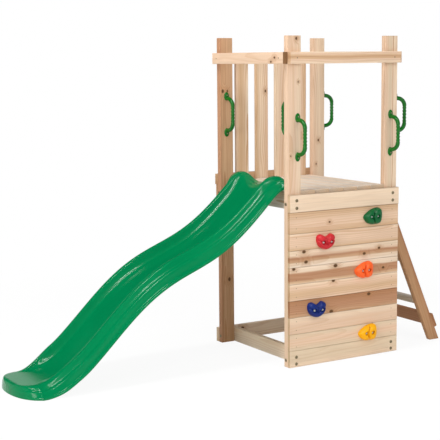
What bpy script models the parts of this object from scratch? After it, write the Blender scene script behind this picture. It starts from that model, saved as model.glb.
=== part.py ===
"""Small wooden play tower with a moulded wave slide, a plank climbing wall, balusters and a ladder.

Run with: blender --background --python part.py

The tower stands on the ground at z = 0. The slide runs down towards -X, the ladder leans out
towards +X, the climbing wall faces -Y and the balusters close the +Y side. Everything is first
placed from the centre of the tower's plan, and one empty then carries all of it, so that the
origin is the middle of the whole footprint on the ground. All lengths are metres.
"""
import math

import bmesh
import bpy
from mathutils import Matrix, Vector

# Clearance that two touching pieces keep between them
GAP = 0.0003

# Tower frame
TOWER_HEIGHT = 1.730
TOWER_LENGTH = 0.718
TOWER_DEPTH = 0.700
POST_WIDTH = 0.083
POST_THICKNESS = 0.034
TOP_RAIL_DROP = 0.083
RAIL_WIDTH = 0.060
RAIL_THICKNESS = 0.028
GROUND_RAIL_HEIGHT = 0.081
EDGE_ROUNDING = 0.002

# Deck
DECK_HEIGHT = 0.932
DECK_BOARD_THICKNESS = 0.018
DECK_BOARD_COUNT = 6
DECK_BOARD_SPACING = 0.0033
DECK_RAIL_HEIGHT = 0.092
JOIST_HEIGHT = 0.060
APRON_HEIGHT = 0.088
BALUSTER_RAIL_DROP = 0.022

# Climbing wall
WALL_TOP_BOARD_HEIGHT = 0.092
WALL_TOP_BOARD_THICKNESS = 0.022
WALL_SECOND_BOARD_HEIGHT = 0.112
WALL_BOARD_THICKNESS = 0.018
WALL_LOWER_BOARD_COUNT = 8

# Balusters
BALUSTER_WIDTH = 0.083
BALUSTER_THICKNESS = 0.018
BALUSTER_COUNT = 4
BALUSTER_FIRST_SPACE = 0.031
BALUSTER_SPACE = 0.0505
BALUSTER_TOP_SETBACK = 0.008

# Ladder
LADDER_WIDTH = 0.560
LADDER_LEAN = math.radians(23.9)
LADDER_TOP_CUT = 0.0075
LADDER_RAIL_WIDTH = 0.062
TREAD_DEPTH = 0.060
TREAD_THICKNESS = 0.028
TREAD_COUNT = 3
FIRST_STEP = 0.2505
LAST_STEP = 0.1705
CROSS_BOARD_WIDTH = 0.083
CROSS_BOARD_THICKNESS = 0.018
CROSS_BOARD_HEIGHT = 0.109

# Slide, in the side view: distances out are measured from the outer face of the slide-side posts
SLIDE_REACH = 1.425
SLIDE_SHELL = 0.005
SLIDE_BROW_RISE = 0.010
SLIDE_FLANGE_END = 0.144
SLIDE_FLANGE_START = 0.089
SLIDE_BROW_START = 0.050
SLIDE_BROW_LENGTH = 0.085
SLIDE_WAVE_LENGTH = 0.9255
SLIDE_WAVE_DEPTH = 0.4146
SLIDE_STEEPEST_OUT = 0.033
SLIDE_RUN_OUT_START = 1.048
SLIDE_RUN_OUT_LENGTH = 0.330
SLIDE_LIP_HEIGHT = 0.060
SLIDE_LIP_ROUNDING = 0.028
SLIDE_WALL_HEIGHT = 0.050
SLIDE_WALL_FADE_START = 1.130
SLIDE_WALL_FADE_LENGTH = 0.190
SLIDE_SKIRT_HEIGHT = 0.097
SLIDE_SKIRT_HEIGHT_AT_TOP = 0.060
SLIDE_GROUND_SOFTNESS = 0.040

# Slide, across: half widths from its centre line in the run, at the flared top and at the foot
SLIDE_CREST_HALF = 0.148
SLIDE_CREST_HALF_AT_TOP = 0.164
SLIDE_CREST_HALF_AT_FOOT = 0.125
SLIDE_EDGE_HALF = 0.235
SLIDE_EDGE_HALF_AT_TOP = 0.272
SLIDE_EDGE_HALF_AT_FOOT = 0.224
SLIDE_TOP_FLARE_LENGTH = 0.120
SLIDE_TIP_HALF = 0.110
SLIDE_CORNER_LENGTH = 0.100
SLIDE_FOOT_JOINT_OUT = 1.326
SLIDE_FOOT_JOINT_STEP = 0.005
SLIDE_FILLET_WIDTH = 0.050

# Half a cross section as (share of the width, share of the height) in the run, at the top and at
# the foot: first across the bed, then up the inner wall, then down the outer flank to the skirt
BED_SECTION = (((0, 0), (0, 0), (0, 0)),
               ((0.55, 0), (0.55, 0.25), (0.55, 0)),
               ((1, 0), (1, 0.72), (1, 0)))
INNER_WALL_SECTION = (((0.34, 0.10), (0.34, 0.86), (0.34, 0)),
                      ((0.60, 0.52), (0.60, 0.94), (0.60, 0)),
                      ((0.80, 0.90), (0.80, 0.98), (0.80, 0)),
                      ((1, 1), (1, 1), (1, 1)))
FLANK_SECTION = (((0.15, 0.03), (0.25, 0.03), (0.25, 0.05)),
                 ((0.29, 0.14), (0.47, 0.13), (0.50, 0.19)),
                 ((0.57, 0.43), (0.80, 0.36), (0.76, 0.45)),
                 ((0.90, 0.84), (1, 0.60), (1, 0.86)),
                 ((1, 1), (1, 1), (1, 1)))

# Grips
GRIP_LENGTH = 0.250
GRIP_REACH = 0.077
GRIP_BAR_RADIUS = 0.0095
GRIP_ARM_SPACING = 0.178
GRIP_STRAIGHT = 0.090
GRIP_FOOT_WIDTH = 0.032
GRIP_FOOT_HEIGHT = 0.048
GRIP_FOOT_THICKNESS = 0.009
GRIP_FOOT_ROUNDING = 0.0096
GRIP_BEND_SQUARENESS = 0.8
GRIP_SCREW_SPACING = 0.214
GRIP_FINGER_WAVES = 4
GRIP_FINGER_DEPTH = 0.0012
GRIP_HOLE_RADIUS = 0.0023
INNER_GRIP_SHARE = 0.571
FRONT_GRIP_SHARE = 0.4244
SLIDE_SIDE_FRONT_GRIP_OFFSET = 0.021
LADDER_SIDE_FRONT_GRIP_OFFSET = -0.004

# Climbing holds
HEART_WIDTH = 0.114
HEART_HEIGHT = 0.083
WEDGE_WIDTH = 0.117
WEDGE_HEIGHT = 0.090
HOLD_THICKNESS = 0.036
HEART_BOLT_SPACING = 0.051
WEDGE_BOLT_SPACING = 0.042
HOLD_SEAT_HEIGHT = 0.012
HOLD_COUNTERBORE_RADIUS = 0.0075

# Holes for the bolts of the frame and of the holds; a hole's cutter overruns the faces it goes through
BOLT_HOLE_RADIUS = 0.0033
CUTTER_OVERRUN = 0.005
WALL_BOLT_PITCH = 0.040
DECK_BOLT_DROP = 0.049
GROUND_BOLT_PITCH = 0.037
GROUND_BOLT_HEIGHT = 0.0365

# Faces of the frame that other pieces line up with
POST_OUTER_X = TOWER_LENGTH / 2
POST_INNER_X = POST_OUTER_X - POST_WIDTH
POST_CENTRE_X = POST_OUTER_X - POST_WIDTH / 2
POST_OUTER_Y = TOWER_DEPTH / 2
POST_INNER_Y = POST_OUTER_Y - POST_THICKNESS
POST_CENTRE_Y = POST_OUTER_Y - POST_THICKNESS / 2
TOP_RAIL_TOP = TOWER_HEIGHT - TOP_RAIL_DROP
DECK_UNDERSIDE = DECK_HEIGHT - DECK_BOARD_THICKNESS
DECK_RAIL_INNER_X = POST_INNER_X - GAP - RAIL_THICKNESS
BALUSTER_RAIL_BOTTOM = DECK_HEIGHT - BALUSTER_RAIL_DROP
DECK_BOLT_HEIGHT = DECK_UNDERSIDE - DECK_BOLT_DROP

# Grips stand at a share of the open height between the deck and the top rails
OPEN_HEIGHT = TOP_RAIL_TOP - RAIL_WIDTH - DECK_HEIGHT
INNER_GRIP_HEIGHT = DECK_HEIGHT + INNER_GRIP_SHARE * OPEN_HEIGHT
FRONT_GRIP_HEIGHT = DECK_HEIGHT + FRONT_GRIP_SHARE * OPEN_HEIGHT

# Ladder lines: a rail's lower edge runs from the deck rail's face down to the ground
LADDER_TOP = DECK_UNDERSIDE - GAP
LADDER_TOP_X = POST_INNER_X + GAP
LADDER_RAIL_WIDTH_LEVEL = LADDER_RAIL_WIDTH / math.cos(LADDER_LEAN)
LADDER_FOOT_INNER_X = LADDER_TOP_X + (LADDER_TOP - LADDER_TOP_CUT) * math.tan(LADDER_LEAN)
LADDER_FOOT_OUTER_X = LADDER_FOOT_INNER_X + LADDER_RAIL_WIDTH_LEVEL
LADDER_RAIL_OUTER_Y = LADDER_WIDTH / 2
LADDER_RAIL_INNER_Y = LADDER_RAIL_OUTER_Y - RAIL_THICKNESS

# Middle of the whole footprint, from the tower's centre
SLIDE_TIP_X = -POST_OUTER_X - SLIDE_REACH
FRONT_REACH_Y = -POST_OUTER_Y - GAP - GRIP_REACH
BACK_REACH_Y = POST_OUTER_Y + GAP + RAIL_THICKNESS
FOOTPRINT_CENTRE = Vector((SLIDE_TIP_X + LADDER_FOOT_OUTER_X, FRONT_REACH_Y + BACK_REACH_Y, 0)) / 2

WOOD_PALE = ("pale spruce", (0.80, 0.66, 0.48), 0.65, 0.0)
WOOD_TAN = ("tan spruce", (0.70, 0.52, 0.34), 0.65, 0.0)
WOOD_BROWN = ("brown spruce", (0.52, 0.33, 0.19), 0.65, 0.0)
WOOD_GREY = ("grey spruce", (0.66, 0.58, 0.48), 0.70, 0.0)
SLIDE_GREEN = ("green polyethylene", (0.0, 0.25, 0.10), 0.28, 0.0)
GRIP_GREEN = ("dark green plastic", (0.01, 0.16, 0.04), 0.40, 0.0)
HOLD_GREEN = ("green hold resin", (0.01, 0.17, 0.06), 0.40, 0.0)
HOLD_RED = ("red hold resin", (0.66, 0.03, 0.05), 0.40, 0.0)
HOLD_ORANGE = ("orange hold resin", (0.95, 0.14, 0.03), 0.40, 0.0)
HOLD_BLUE = ("blue hold resin", (0.01, 0.05, 0.35), 0.40, 0.0)
HOLD_YELLOW = ("yellow hold resin", (0.95, 0.53, 0.02), 0.40, 0.0)


def clear_scene():
    for old in list(bpy.data.objects):
        bpy.data.objects.remove(old, do_unlink=True)


def new_collection(name):
    collection = bpy.data.collections.new(name)
    bpy.context.scene.collection.children.link(collection)
    return collection


def finish_material(finish):
    name, colour, roughness, metallic = finish
    material = bpy.data.materials.get(name)
    if material is None:
        material = bpy.data.materials.new(name)
        material.use_nodes = True
        shader = material.node_tree.nodes["Principled BSDF"]
        shader.inputs["Base Color"].default_value = (*colour, 1.0)
        shader.inputs["Roughness"].default_value = roughness
        shader.inputs["Metallic"].default_value = metallic
        material.diffuse_color = (*colour, 1.0)
    return material


clear_scene()
PARTS = new_collection("play_tower_with_slide")
CUTTERS = new_collection("cutters")
TOWER = bpy.data.objects.new("tower_centre", None)
PARTS.objects.link(TOWER)
TOWER.location = -FOOTPRINT_CENTRE
PIECES = {}
HOLES = {}


def add_piece(name, mesh, finish, location=(0, 0, 0), turn=0.0):
    """Put a mesh in the tower as one named piece, turned about Z and placed from the tower's centre."""
    piece = bpy.data.objects.new(name, mesh)
    PARTS.objects.link(piece)
    piece.parent = TOWER
    piece.location = location
    piece.rotation_euler = (0, 0, turn)
    if not mesh.materials:
        mesh.materials.append(finish_material(finish))
    PIECES[name] = piece
    return piece


def mesh_from(build, name):
    """Make a mesh by calling build with an empty bmesh."""
    bm = bmesh.new()
    build(bm)
    bmesh.ops.recalc_face_normals(bm, faces=bm.faces)
    mesh = bpy.data.meshes.new(name)
    bm.to_mesh(mesh)
    bm.free()
    return mesh


def evaluated_mesh(scene_object):
    bpy.context.view_layer.update()
    graph = bpy.context.evaluated_depsgraph_get()
    return bpy.data.meshes.new_from_object(scene_object.evaluated_get(graph), depsgraph=graph)


def round_edges(piece, width=EDGE_ROUNDING):
    bevel = piece.modifiers.new("rounded edges", "BEVEL")
    bevel.width = width
    bevel.segments = 1
    bevel.limit_method = "ANGLE"


def board(name, x, y, z, finish):
    """A straight board between two x, two y and two z values, with its edges taken off."""
    size = Vector((x[1] - x[0], y[1] - y[0], z[1] - z[0]))
    middle = Vector((x[0] + x[1], y[0] + y[1], z[0] + z[1])) / 2

    def build(bm):
        bmesh.ops.create_cube(bm, size=1.0)
        bmesh.ops.scale(bm, vec=size, verts=bm.verts)

    piece = add_piece(name, mesh_from(build, name), finish, middle)
    round_edges(piece)
    return piece


def both_ways(low, high):
    """The same stretch on the two sides of the centre, the negative one first."""
    return ((-high, -low), (low, high))


def drill(pieces, start, direction, length, radius, sides=8):
    """Note a round hole through some pieces; cut_holes makes them all at the end."""
    for name in pieces:
        hole = (Vector(start), Vector(direction), length, sides)
        HOLES.setdefault((name, radius), []).append(hole)


def turned_to(direction):
    return Vector((0, 0, 1)).rotation_difference(Vector(direction)).to_matrix().to_4x4()


def cut_holes():
    """Cut each piece's holes of one size with one hidden object that holds all their cylinders."""
    for (piece_name, radius), holes in HOLES.items():
        def build(bm):
            for start, direction, length, sides in holes:
                place = Matrix.Translation(start + direction * (length / 2)) @ turned_to(direction)
                bmesh.ops.create_cone(bm, cap_ends=True, segments=sides, radius1=radius,
                                      radius2=radius, depth=length, matrix=place)

        cutter_name = f"{piece_name}_holes_{round(radius * 2000)}_mm"
        cutter = bpy.data.objects.new(cutter_name, mesh_from(build, cutter_name))
        CUTTERS.objects.link(cutter)
        cutter.parent = TOWER
        cutter.hide_render = True
        cutter.display_type = "WIRE"
        cut = PIECES[piece_name].modifiers.new("holes", "BOOLEAN")
        cut.operation = "DIFFERENCE"
        cut.object = cutter


def add_posts():
    left, right = both_ways(POST_INNER_X, POST_OUTER_X)
    front, back = both_ways(POST_INNER_Y, POST_OUTER_Y)
    standing = (0, TOWER_HEIGHT)
    board("post_slide_back", left, back, standing, WOOD_TAN)
    board("post_slide_front", left, front, standing, WOOD_PALE)
    board("post_ladder_front", right, front, standing, WOOD_PALE)
    board("post_ladder_back", right, back, standing, WOOD_PALE)


def add_top_rails():
    """Four rails outside the posts, a hand's width below the post tops."""
    height = (TOP_RAIL_TOP - RAIL_WIDTH, TOP_RAIL_TOP)
    along_x = (-POST_OUTER_X, POST_OUTER_X)
    along_y = (-POST_OUTER_Y, POST_OUTER_Y)
    slide_side, ladder_side = both_ways(POST_OUTER_X + GAP, POST_OUTER_X + GAP + RAIL_THICKNESS)
    front, back = both_ways(POST_OUTER_Y + GAP, POST_OUTER_Y + GAP + RAIL_THICKNESS)
    board("top_rail_slide", slide_side, along_y, height, WOOD_PALE)
    board("top_rail_ladder", ladder_side, along_y, height, WOOD_TAN)
    board("top_rail_front", along_x, front, height, WOOD_PALE)
    board("top_rail_back", along_x, back, height, WOOD_TAN)


def add_deck():
    """Two rails on the posts' inner faces carry three joists and the deck boards."""
    rail_faces = both_ways(DECK_RAIL_INNER_X, POST_INNER_X - GAP)
    along_y = (-POST_OUTER_Y + GAP, POST_OUTER_Y - GAP)
    rail_height = (DECK_UNDERSIDE - DECK_RAIL_HEIGHT, DECK_UNDERSIDE - GAP)
    board("deck_rail_slide", rail_faces[0], along_y, rail_height, WOOD_TAN)
    board("deck_rail_ladder", rail_faces[1], along_y, rail_height, WOOD_TAN)

    between_rails = (-DECK_RAIL_INNER_X + GAP, DECK_RAIL_INNER_X - GAP)
    joist_height = (DECK_UNDERSIDE - JOIST_HEIGHT, DECK_UNDERSIDE - GAP)
    outermost = (along_y[1] - along_y[0] - RAIL_THICKNESS) / 2
    for name, middle in (("joist_front", -outermost), ("joist_middle", 0), ("joist_back", outermost)):
        faces = (middle - RAIL_THICKNESS / 2, middle + RAIL_THICKNESS / 2)
        board(name, between_rails, faces, joist_height, WOOD_TAN)

    pitch = 2 * POST_INNER_X / DECK_BOARD_COUNT
    for number in range(DECK_BOARD_COUNT):
        start = -POST_INNER_X + number * pitch + DECK_BOARD_SPACING / 2
        across = (start, start + pitch - DECK_BOARD_SPACING)
        height = (DECK_UNDERSIDE, DECK_HEIGHT)
        board(f"deck_board_{number + 1}", across, along_y, height, WOOD_GREY)


def add_back_side():
    """Apron and baluster rail outside the back posts, balusters between them and the top rail."""
    along_x = (-POST_OUTER_X, POST_OUTER_X)
    thin = (POST_OUTER_Y + GAP, POST_OUTER_Y + GAP + WALL_BOARD_THICKNESS)
    thick = (POST_OUTER_Y + GAP, POST_OUTER_Y + GAP + RAIL_THICKNESS)
    apron_height = (BALUSTER_RAIL_BOTTOM - GAP - APRON_HEIGHT, BALUSTER_RAIL_BOTTOM - GAP)
    board("back_apron", along_x, thin, apron_height, WOOD_TAN)
    rail_height = (BALUSTER_RAIL_BOTTOM, BALUSTER_RAIL_BOTTOM + RAIL_WIDTH)
    board("baluster_rail", along_x, thick, rail_height, WOOD_TAN)

    faces = (POST_OUTER_Y - BALUSTER_THICKNESS, POST_OUTER_Y)
    standing = (DECK_HEIGHT + GAP, TOP_RAIL_TOP - BALUSTER_TOP_SETBACK)
    for number in range(BALUSTER_COUNT):
        start = -POST_INNER_X + BALUSTER_FIRST_SPACE + number * (BALUSTER_WIDTH + BALUSTER_SPACE)
        board(f"baluster_{number + 1}", (start, start + BALUSTER_WIDTH), faces, standing, WOOD_TAN)


def add_ground_rails():
    """Rails that keep the posts' feet apart: two on the posts' inner faces, one outside the back."""
    height = (0, GROUND_RAIL_HEIGHT)
    along_y = (-POST_OUTER_Y + GAP, POST_OUTER_Y - GAP)
    slide_side, ladder_side = both_ways(DECK_RAIL_INNER_X, POST_INNER_X - GAP)
    board("ground_rail_slide", slide_side, along_y, height, WOOD_PALE)
    board("ground_rail_ladder", ladder_side, along_y, height, WOOD_PALE)
    outside = (POST_OUTER_Y + GAP, POST_OUTER_Y + GAP + RAIL_THICKNESS)
    board("ground_rail_back", (-POST_OUTER_X, POST_OUTER_X), outside, height, WOOD_TAN)


def wall_board_edges():
    """Bottom and top height of each wall board, from the top board down to the ground."""
    tops = [DECK_UNDERSIDE, DECK_UNDERSIDE - WALL_TOP_BOARD_HEIGHT]
    tops.append(tops[1] - WALL_SECOND_BOARD_HEIGHT)
    lower = tops[2] / WALL_LOWER_BOARD_COUNT
    tops.extend(tops[2] - lower * (row + 1) for row in range(WALL_LOWER_BOARD_COUNT))
    return [(bottom, top) for top, bottom in zip(tops, tops[1:])]


def wall_board_middle(number):
    bottom, top = wall_board_edges()[number - 1]
    return (bottom + top) / 2


def add_climbing_wall():
    along_x = (-POST_OUTER_X, POST_OUTER_X)
    back_face = -POST_OUTER_Y - GAP
    finishes = (WOOD_PALE, WOOD_TAN, WOOD_PALE, WOOD_TAN, WOOD_TAN, WOOD_TAN, WOOD_BROWN,
                WOOD_PALE, WOOD_PALE, WOOD_PALE)
    for number, (bottom, top) in enumerate(wall_board_edges(), start=1):
        thickness = WALL_TOP_BOARD_THICKNESS if number == 1 else WALL_BOARD_THICKNESS
        faces = (back_face - thickness, back_face)
        seat = bottom + GAP if bottom > GAP else 0
        board(f"wall_board_{number}", along_x, faces, (seat, top), finishes[number - 1])


def ladder_edge_x(height):
    """Where the lower edge of a ladder rail is at a height."""
    return LADDER_FOOT_INNER_X - height * math.tan(LADDER_LEAN)


def add_ladder():
    """Two sloping rails that lean on the deck rail, with level treads between them."""
    outline = [(LADDER_FOOT_INNER_X, 0), (LADDER_FOOT_OUTER_X, 0),
               (ladder_edge_x(LADDER_TOP) + LADDER_RAIL_WIDTH_LEVEL, LADDER_TOP),
               (LADDER_TOP_X, LADDER_TOP), (LADDER_TOP_X, LADDER_TOP - LADDER_TOP_CUT)]
    sides = (("ladder_rail_front", -LADDER_RAIL_OUTER_Y), ("ladder_rail_back", LADDER_RAIL_INNER_Y))
    for name, start in sides:
        def build(bm):
            side = bm.faces.new([bm.verts.new((x, start, z)) for x, z in outline])
            grown = bmesh.ops.extrude_face_region(bm, geom=[side])["geom"]
            moved = [item for item in grown if isinstance(item, bmesh.types.BMVert)]
            bmesh.ops.translate(bm, vec=(0, RAIL_THICKNESS, 0), verts=moved)

        round_edges(add_piece(name, mesh_from(build, name), WOOD_BROWN))

    between = (-LADDER_RAIL_INNER_Y + GAP, LADDER_RAIL_INNER_Y - GAP)
    last_tread_top = DECK_HEIGHT - LAST_STEP
    pitch = (last_tread_top - FIRST_STEP) / (TREAD_COUNT - 1)
    for number in range(TREAD_COUNT):
        top = FIRST_STEP + number * pitch
        back = ladder_edge_x(top - TREAD_THICKNESS / 2)
        faces = (back, back + TREAD_DEPTH)
        board(f"tread_{number + 1}", faces, between, (top - TREAD_THICKNESS, top), WOOD_GREY)
    add_cross_board()


def add_cross_board():
    """A board across the climbing side of the ladder rails, just above the ground."""
    def build(bm):
        bmesh.ops.create_cube(bm, size=1.0)
        size = (CROSS_BOARD_THICKNESS, LADDER_WIDTH, CROSS_BOARD_WIDTH)
        bmesh.ops.scale(bm, vec=size, verts=bm.verts)

    face_x = ladder_edge_x(CROSS_BOARD_HEIGHT) + LADDER_RAIL_WIDTH_LEVEL
    outwards = Vector((math.cos(LADDER_LEAN), 0, math.sin(LADDER_LEAN)))
    middle = Vector((face_x, 0, CROSS_BOARD_HEIGHT)) + outwards * (CROSS_BOARD_THICKNESS / 2 + GAP)
    cross = add_piece("ladder_cross_board", mesh_from(build, "ladder_cross_board"), WOOD_GREY, middle)
    cross.rotation_euler = (0, -LADDER_LEAN, 0)
    round_edges(cross)


def ease(value):
    """A smooth step from 0 to 1 as value goes from 0 to 1."""
    value = min(max(value, 0.0), 1.0)
    return value * value * (3 - 2 * value)


def quarter_round(value):
    """A quarter circle from 0 to 1, steep at its start."""
    value = min(max(value, 0.0), 1.0)
    return math.sqrt(1 - (1 - value) ** 2)


def slide_steepness(out):
    """Relative slope of the bed: a wave that starts level at the brow and ends level at the lip."""
    wave = 1 + SLIDE_WAVE_DEPTH * math.cos(2 * math.pi * (out - SLIDE_STEEPEST_OUT) / SLIDE_WAVE_LENGTH)
    brow = ease((out + SLIDE_BROW_START) / SLIDE_BROW_LENGTH)
    run_out = 1 - ease((out - SLIDE_RUN_OUT_START) / SLIDE_RUN_OUT_LENGTH)
    return wave * brow * run_out


def slide_fall(out, steps=200):
    """The wave's fall from the brow to a distance out, before it is scaled to the real drop."""
    step = (out + SLIDE_BROW_START) / steps
    return sum(slide_steepness((i + 0.5) * step - SLIDE_BROW_START) for i in range(steps)) * step


SLIDE_FLANGE_Z = DECK_HEIGHT + GAP + SLIDE_SHELL
SLIDE_BROW_Z = SLIDE_FLANGE_Z + SLIDE_BROW_RISE
SLIDE_TOTAL_FALL = slide_fall(SLIDE_REACH)


def slide_end_round(out):
    """1 over the run of the slide, falling to 0 in a quarter round where its end meets the flange."""
    return quarter_round((out + SLIDE_FLANGE_START) / (SLIDE_FLANGE_START - SLIDE_BROW_START))


def slide_top_share(out):
    """1 at the slide's flared top, 0 in the run."""
    return 1 - ease(out / SLIDE_TOP_FLARE_LENGTH + 0.5)


def slide_foot_share(out):
    """0 in the run, 1 where the side walls have faded into the foot."""
    return ease((out - SLIDE_WALL_FADE_START) / SLIDE_WALL_FADE_LENGTH)


def slide_blend(out, run, top, foot):
    return run + (top - run) * slide_top_share(out) + (foot - run) * slide_foot_share(out)


def slide_bed(out):
    if out < -SLIDE_BROW_START:
        return SLIDE_FLANGE_Z + SLIDE_BROW_RISE * slide_end_round(out)
    drop = (SLIDE_BROW_Z - SLIDE_LIP_HEIGHT) * slide_fall(out) / SLIDE_TOTAL_FALL
    lip = SLIDE_LIP_ROUNDING * (1 - quarter_round((SLIDE_REACH - out) / SLIDE_LIP_ROUNDING))
    return SLIDE_BROW_Z - drop - lip


def slide_wall(out):
    """Height of the side walls above the bed."""
    return SLIDE_WALL_HEIGHT * slide_end_round(out) * (1 - slide_foot_share(out))


def slide_skirt_edge(out):
    """Height of the outer skirt's lower edge: over the deck, along the run, and on the ground."""
    hanging = slide_bed(out) + slide_wall(out) - slide_blend(
        out, SLIDE_SKIRT_HEIGHT, SLIDE_SKIRT_HEIGHT_AT_TOP, SLIDE_SKIRT_HEIGHT)
    if out < -SLIDE_BROW_START:
        return max(hanging, SLIDE_FLANGE_Z)
    above_ground = (hanging + math.sqrt(hanging ** 2 + SLIDE_GROUND_SOFTNESS ** 2)) / 2
    return GAP + above_ground * (1 - slide_foot_share(out) ** 4)


def slide_half_widths(out):
    """Half widths at the wall's crest and at the skirt's edge."""
    crest = slide_blend(out, SLIDE_CREST_HALF, SLIDE_CREST_HALF_AT_TOP, SLIDE_CREST_HALF_AT_FOOT)
    edge = slide_blend(out, SLIDE_EDGE_HALF, SLIDE_EDGE_HALF_AT_TOP, SLIDE_EDGE_HALF_AT_FOOT)
    if out > SLIDE_FOOT_JOINT_OUT:
        edge -= SLIDE_FOOT_JOINT_STEP
    corner = min(max(1 - (SLIDE_REACH - out) / SLIDE_CORNER_LENGTH, 0), 1)
    squeeze = 1 - (1 - SLIDE_TIP_HALF / SLIDE_EDGE_HALF_AT_FOOT) * (1 - math.sqrt(1 - corner ** 2))
    return crest * squeeze, edge * squeeze


def slide_section(out):
    """Points of half a cross section, from the middle of the bed to the skirt's lower edge."""
    crest_half, edge_half = slide_half_widths(out)
    bed = slide_bed(out)
    wall = slide_wall(out)
    skirt = bed + wall - slide_skirt_edge(out)
    bed_half = crest_half - SLIDE_FILLET_WIDTH * crest_half / SLIDE_CREST_HALF
    stretches = ((BED_SECTION, 0, bed_half, bed, wall),
                 (INNER_WALL_SECTION, bed_half, crest_half, bed, wall),
                 (FLANK_SECTION, crest_half, edge_half, bed + wall, -skirt))
    points = []
    for section, start, end, base, rise in stretches:
        for shares in section:
            across, up = (slide_blend(out, *values) for values in zip(*shares))
            points.append((start + (end - start) * across, base + rise * up))
    return points


def slide_stations():
    """Distances out at which the slide's cross section is drawn, closer where it bends."""
    stations = [-SLIDE_FLANGE_END, -(SLIDE_FLANGE_END + SLIDE_FLANGE_START) / 2]
    end_length = SLIDE_FLANGE_START - SLIDE_BROW_START
    stations += [end_length * share - SLIDE_FLANGE_START for share in (0, 0.04, 0.15, 0.35, 0.65, 1)]
    run_end = SLIDE_FOOT_JOINT_OUT - SLIDE_FOOT_JOINT_STEP / 5
    run_count = 32
    step = (run_end + SLIDE_BROW_START) / run_count
    stations += [step * number - SLIDE_BROW_START for number in range(1, run_count + 1)]
    stations += [SLIDE_FOOT_JOINT_OUT + SLIDE_FOOT_JOINT_STEP / 5]
    for angle in (0, 25, 45, 62, 76, 90):
        station = SLIDE_REACH - SLIDE_CORNER_LENGTH * (1 - math.sin(math.radians(angle)))
        if station > stations[-1] + SLIDE_FOOT_JOINT_STEP:
            stations.append(station)
    return stations


def add_slide():
    """One moulded shell: half of it is lofted through cross sections, mirrored and thickened."""
    bm = bmesh.new()
    rows = []
    for out in slide_stations():
        rows.append([bm.verts.new((-POST_OUTER_X - out, y, z)) for y, z in slide_section(out)])
    for row, following in zip(rows, rows[1:]):
        join_rows(bm, row, following)

    last_top_point = len(BED_SECTION) + len(INNER_WALL_SECTION) + 1
    above = rows[-1][:last_top_point + 1]
    for corner in rows[-1][last_top_point + 1:]:
        narrowing = corner.co.y / above[-1].co.y
        below = [bm.verts.new((v.co.x, v.co.y * narrowing, corner.co.z)) for v in above[:-1]]
        below.append(corner)
        join_rows(bm, above, below)
        above = below

    mesh = bpy.data.meshes.new("slide")
    bm.to_mesh(mesh)
    bm.free()
    slide = add_piece("slide", mesh, SLIDE_GREEN)
    mirror = slide.modifiers.new("other half", "MIRROR")
    mirror.use_axis = (False, True, False)
    mirror.merge_threshold = 0.0001
    shell = slide.modifiers.new("shell", "SOLIDIFY")
    shell.thickness = SLIDE_SHELL
    shell.offset = -1


def join_rows(bm, row, following):
    """Fill the strip between two rows of points, with the faces turned up and outwards."""
    for i in range(len(row) - 1):
        bm.faces.new((row[i], row[i + 1], following[i + 1], following[i]))


def add_bolt_holes():
    """Holes through the wall's top and bottom boards, and through the posts into the side rails."""
    bottom_board = f"wall_board_{WALL_LOWER_BOARD_COUNT + 2}"
    wall_length = POST_THICKNESS + WALL_TOP_BOARD_THICKNESS + 2 * CUTTER_OVERRUN
    rail_length = POST_WIDTH + RAIL_THICKNESS + 2 * CUTTER_OVERRUN
    wall_face = -POST_OUTER_Y - WALL_TOP_BOARD_THICKNESS - CUTTER_OVERRUN
    for x, post in ((-POST_CENTRE_X, "post_slide_front"), (POST_CENTRE_X, "post_ladder_front")):
        for height, pitch, wall_board in ((DECK_BOLT_HEIGHT, WALL_BOLT_PITCH, "wall_board_1"),
                                          (GROUND_BOLT_HEIGHT, GROUND_BOLT_PITCH, bottom_board)):
            for z in (height - pitch / 2, height + pitch / 2):
                drill((wall_board, post), (x, wall_face, z), (0, 1, 0), wall_length, BOLT_HOLE_RADIUS)
    for side, sign in (("slide", -1), ("ladder", 1)):
        for end, y in (("front", -POST_CENTRE_Y), ("back", POST_CENTRE_Y)):
            for rail, z in (("deck_rail", DECK_BOLT_HEIGHT), ("ground_rail", GROUND_BOLT_HEIGHT)):
                start = (sign * (POST_OUTER_X + CUTTER_OVERRUN), y, z)
                pieces = (f"post_{side}_{end}", f"{rail}_{side}")
                drill(pieces, start, (-sign, 0, 0), rail_length, BOLT_HOLE_RADIUS)


def grip_path():
    """Centre line of a grip's bar, from the lower foot to the upper one: (outwards, height)."""
    reach = GRIP_REACH - GRIP_BAR_RADIUS
    half_straight = GRIP_STRAIGHT / 2
    bend = GRIP_ARM_SPACING / 2 - half_straight
    upper = []
    for angle in (0, 22, 44, 66, 90):
        turn = math.radians(angle)
        share = math.cos(turn) ** GRIP_BEND_SQUARENESS
        out = GRIP_FOOT_THICKNESS / 2 + (reach - GRIP_FOOT_THICKNESS / 2) * share
        upper.append((out, half_straight + bend * math.sin(turn)))
    middle_count = 2 * GRIP_FINGER_WAVES - 1
    pitch = GRIP_STRAIGHT / (middle_count + 1)
    straight = [(reach, pitch * number - half_straight) for number in range(1, middle_count + 1)]
    lower = [(out, -height) for out, height in reversed(upper)]
    return lower + straight + upper


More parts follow.
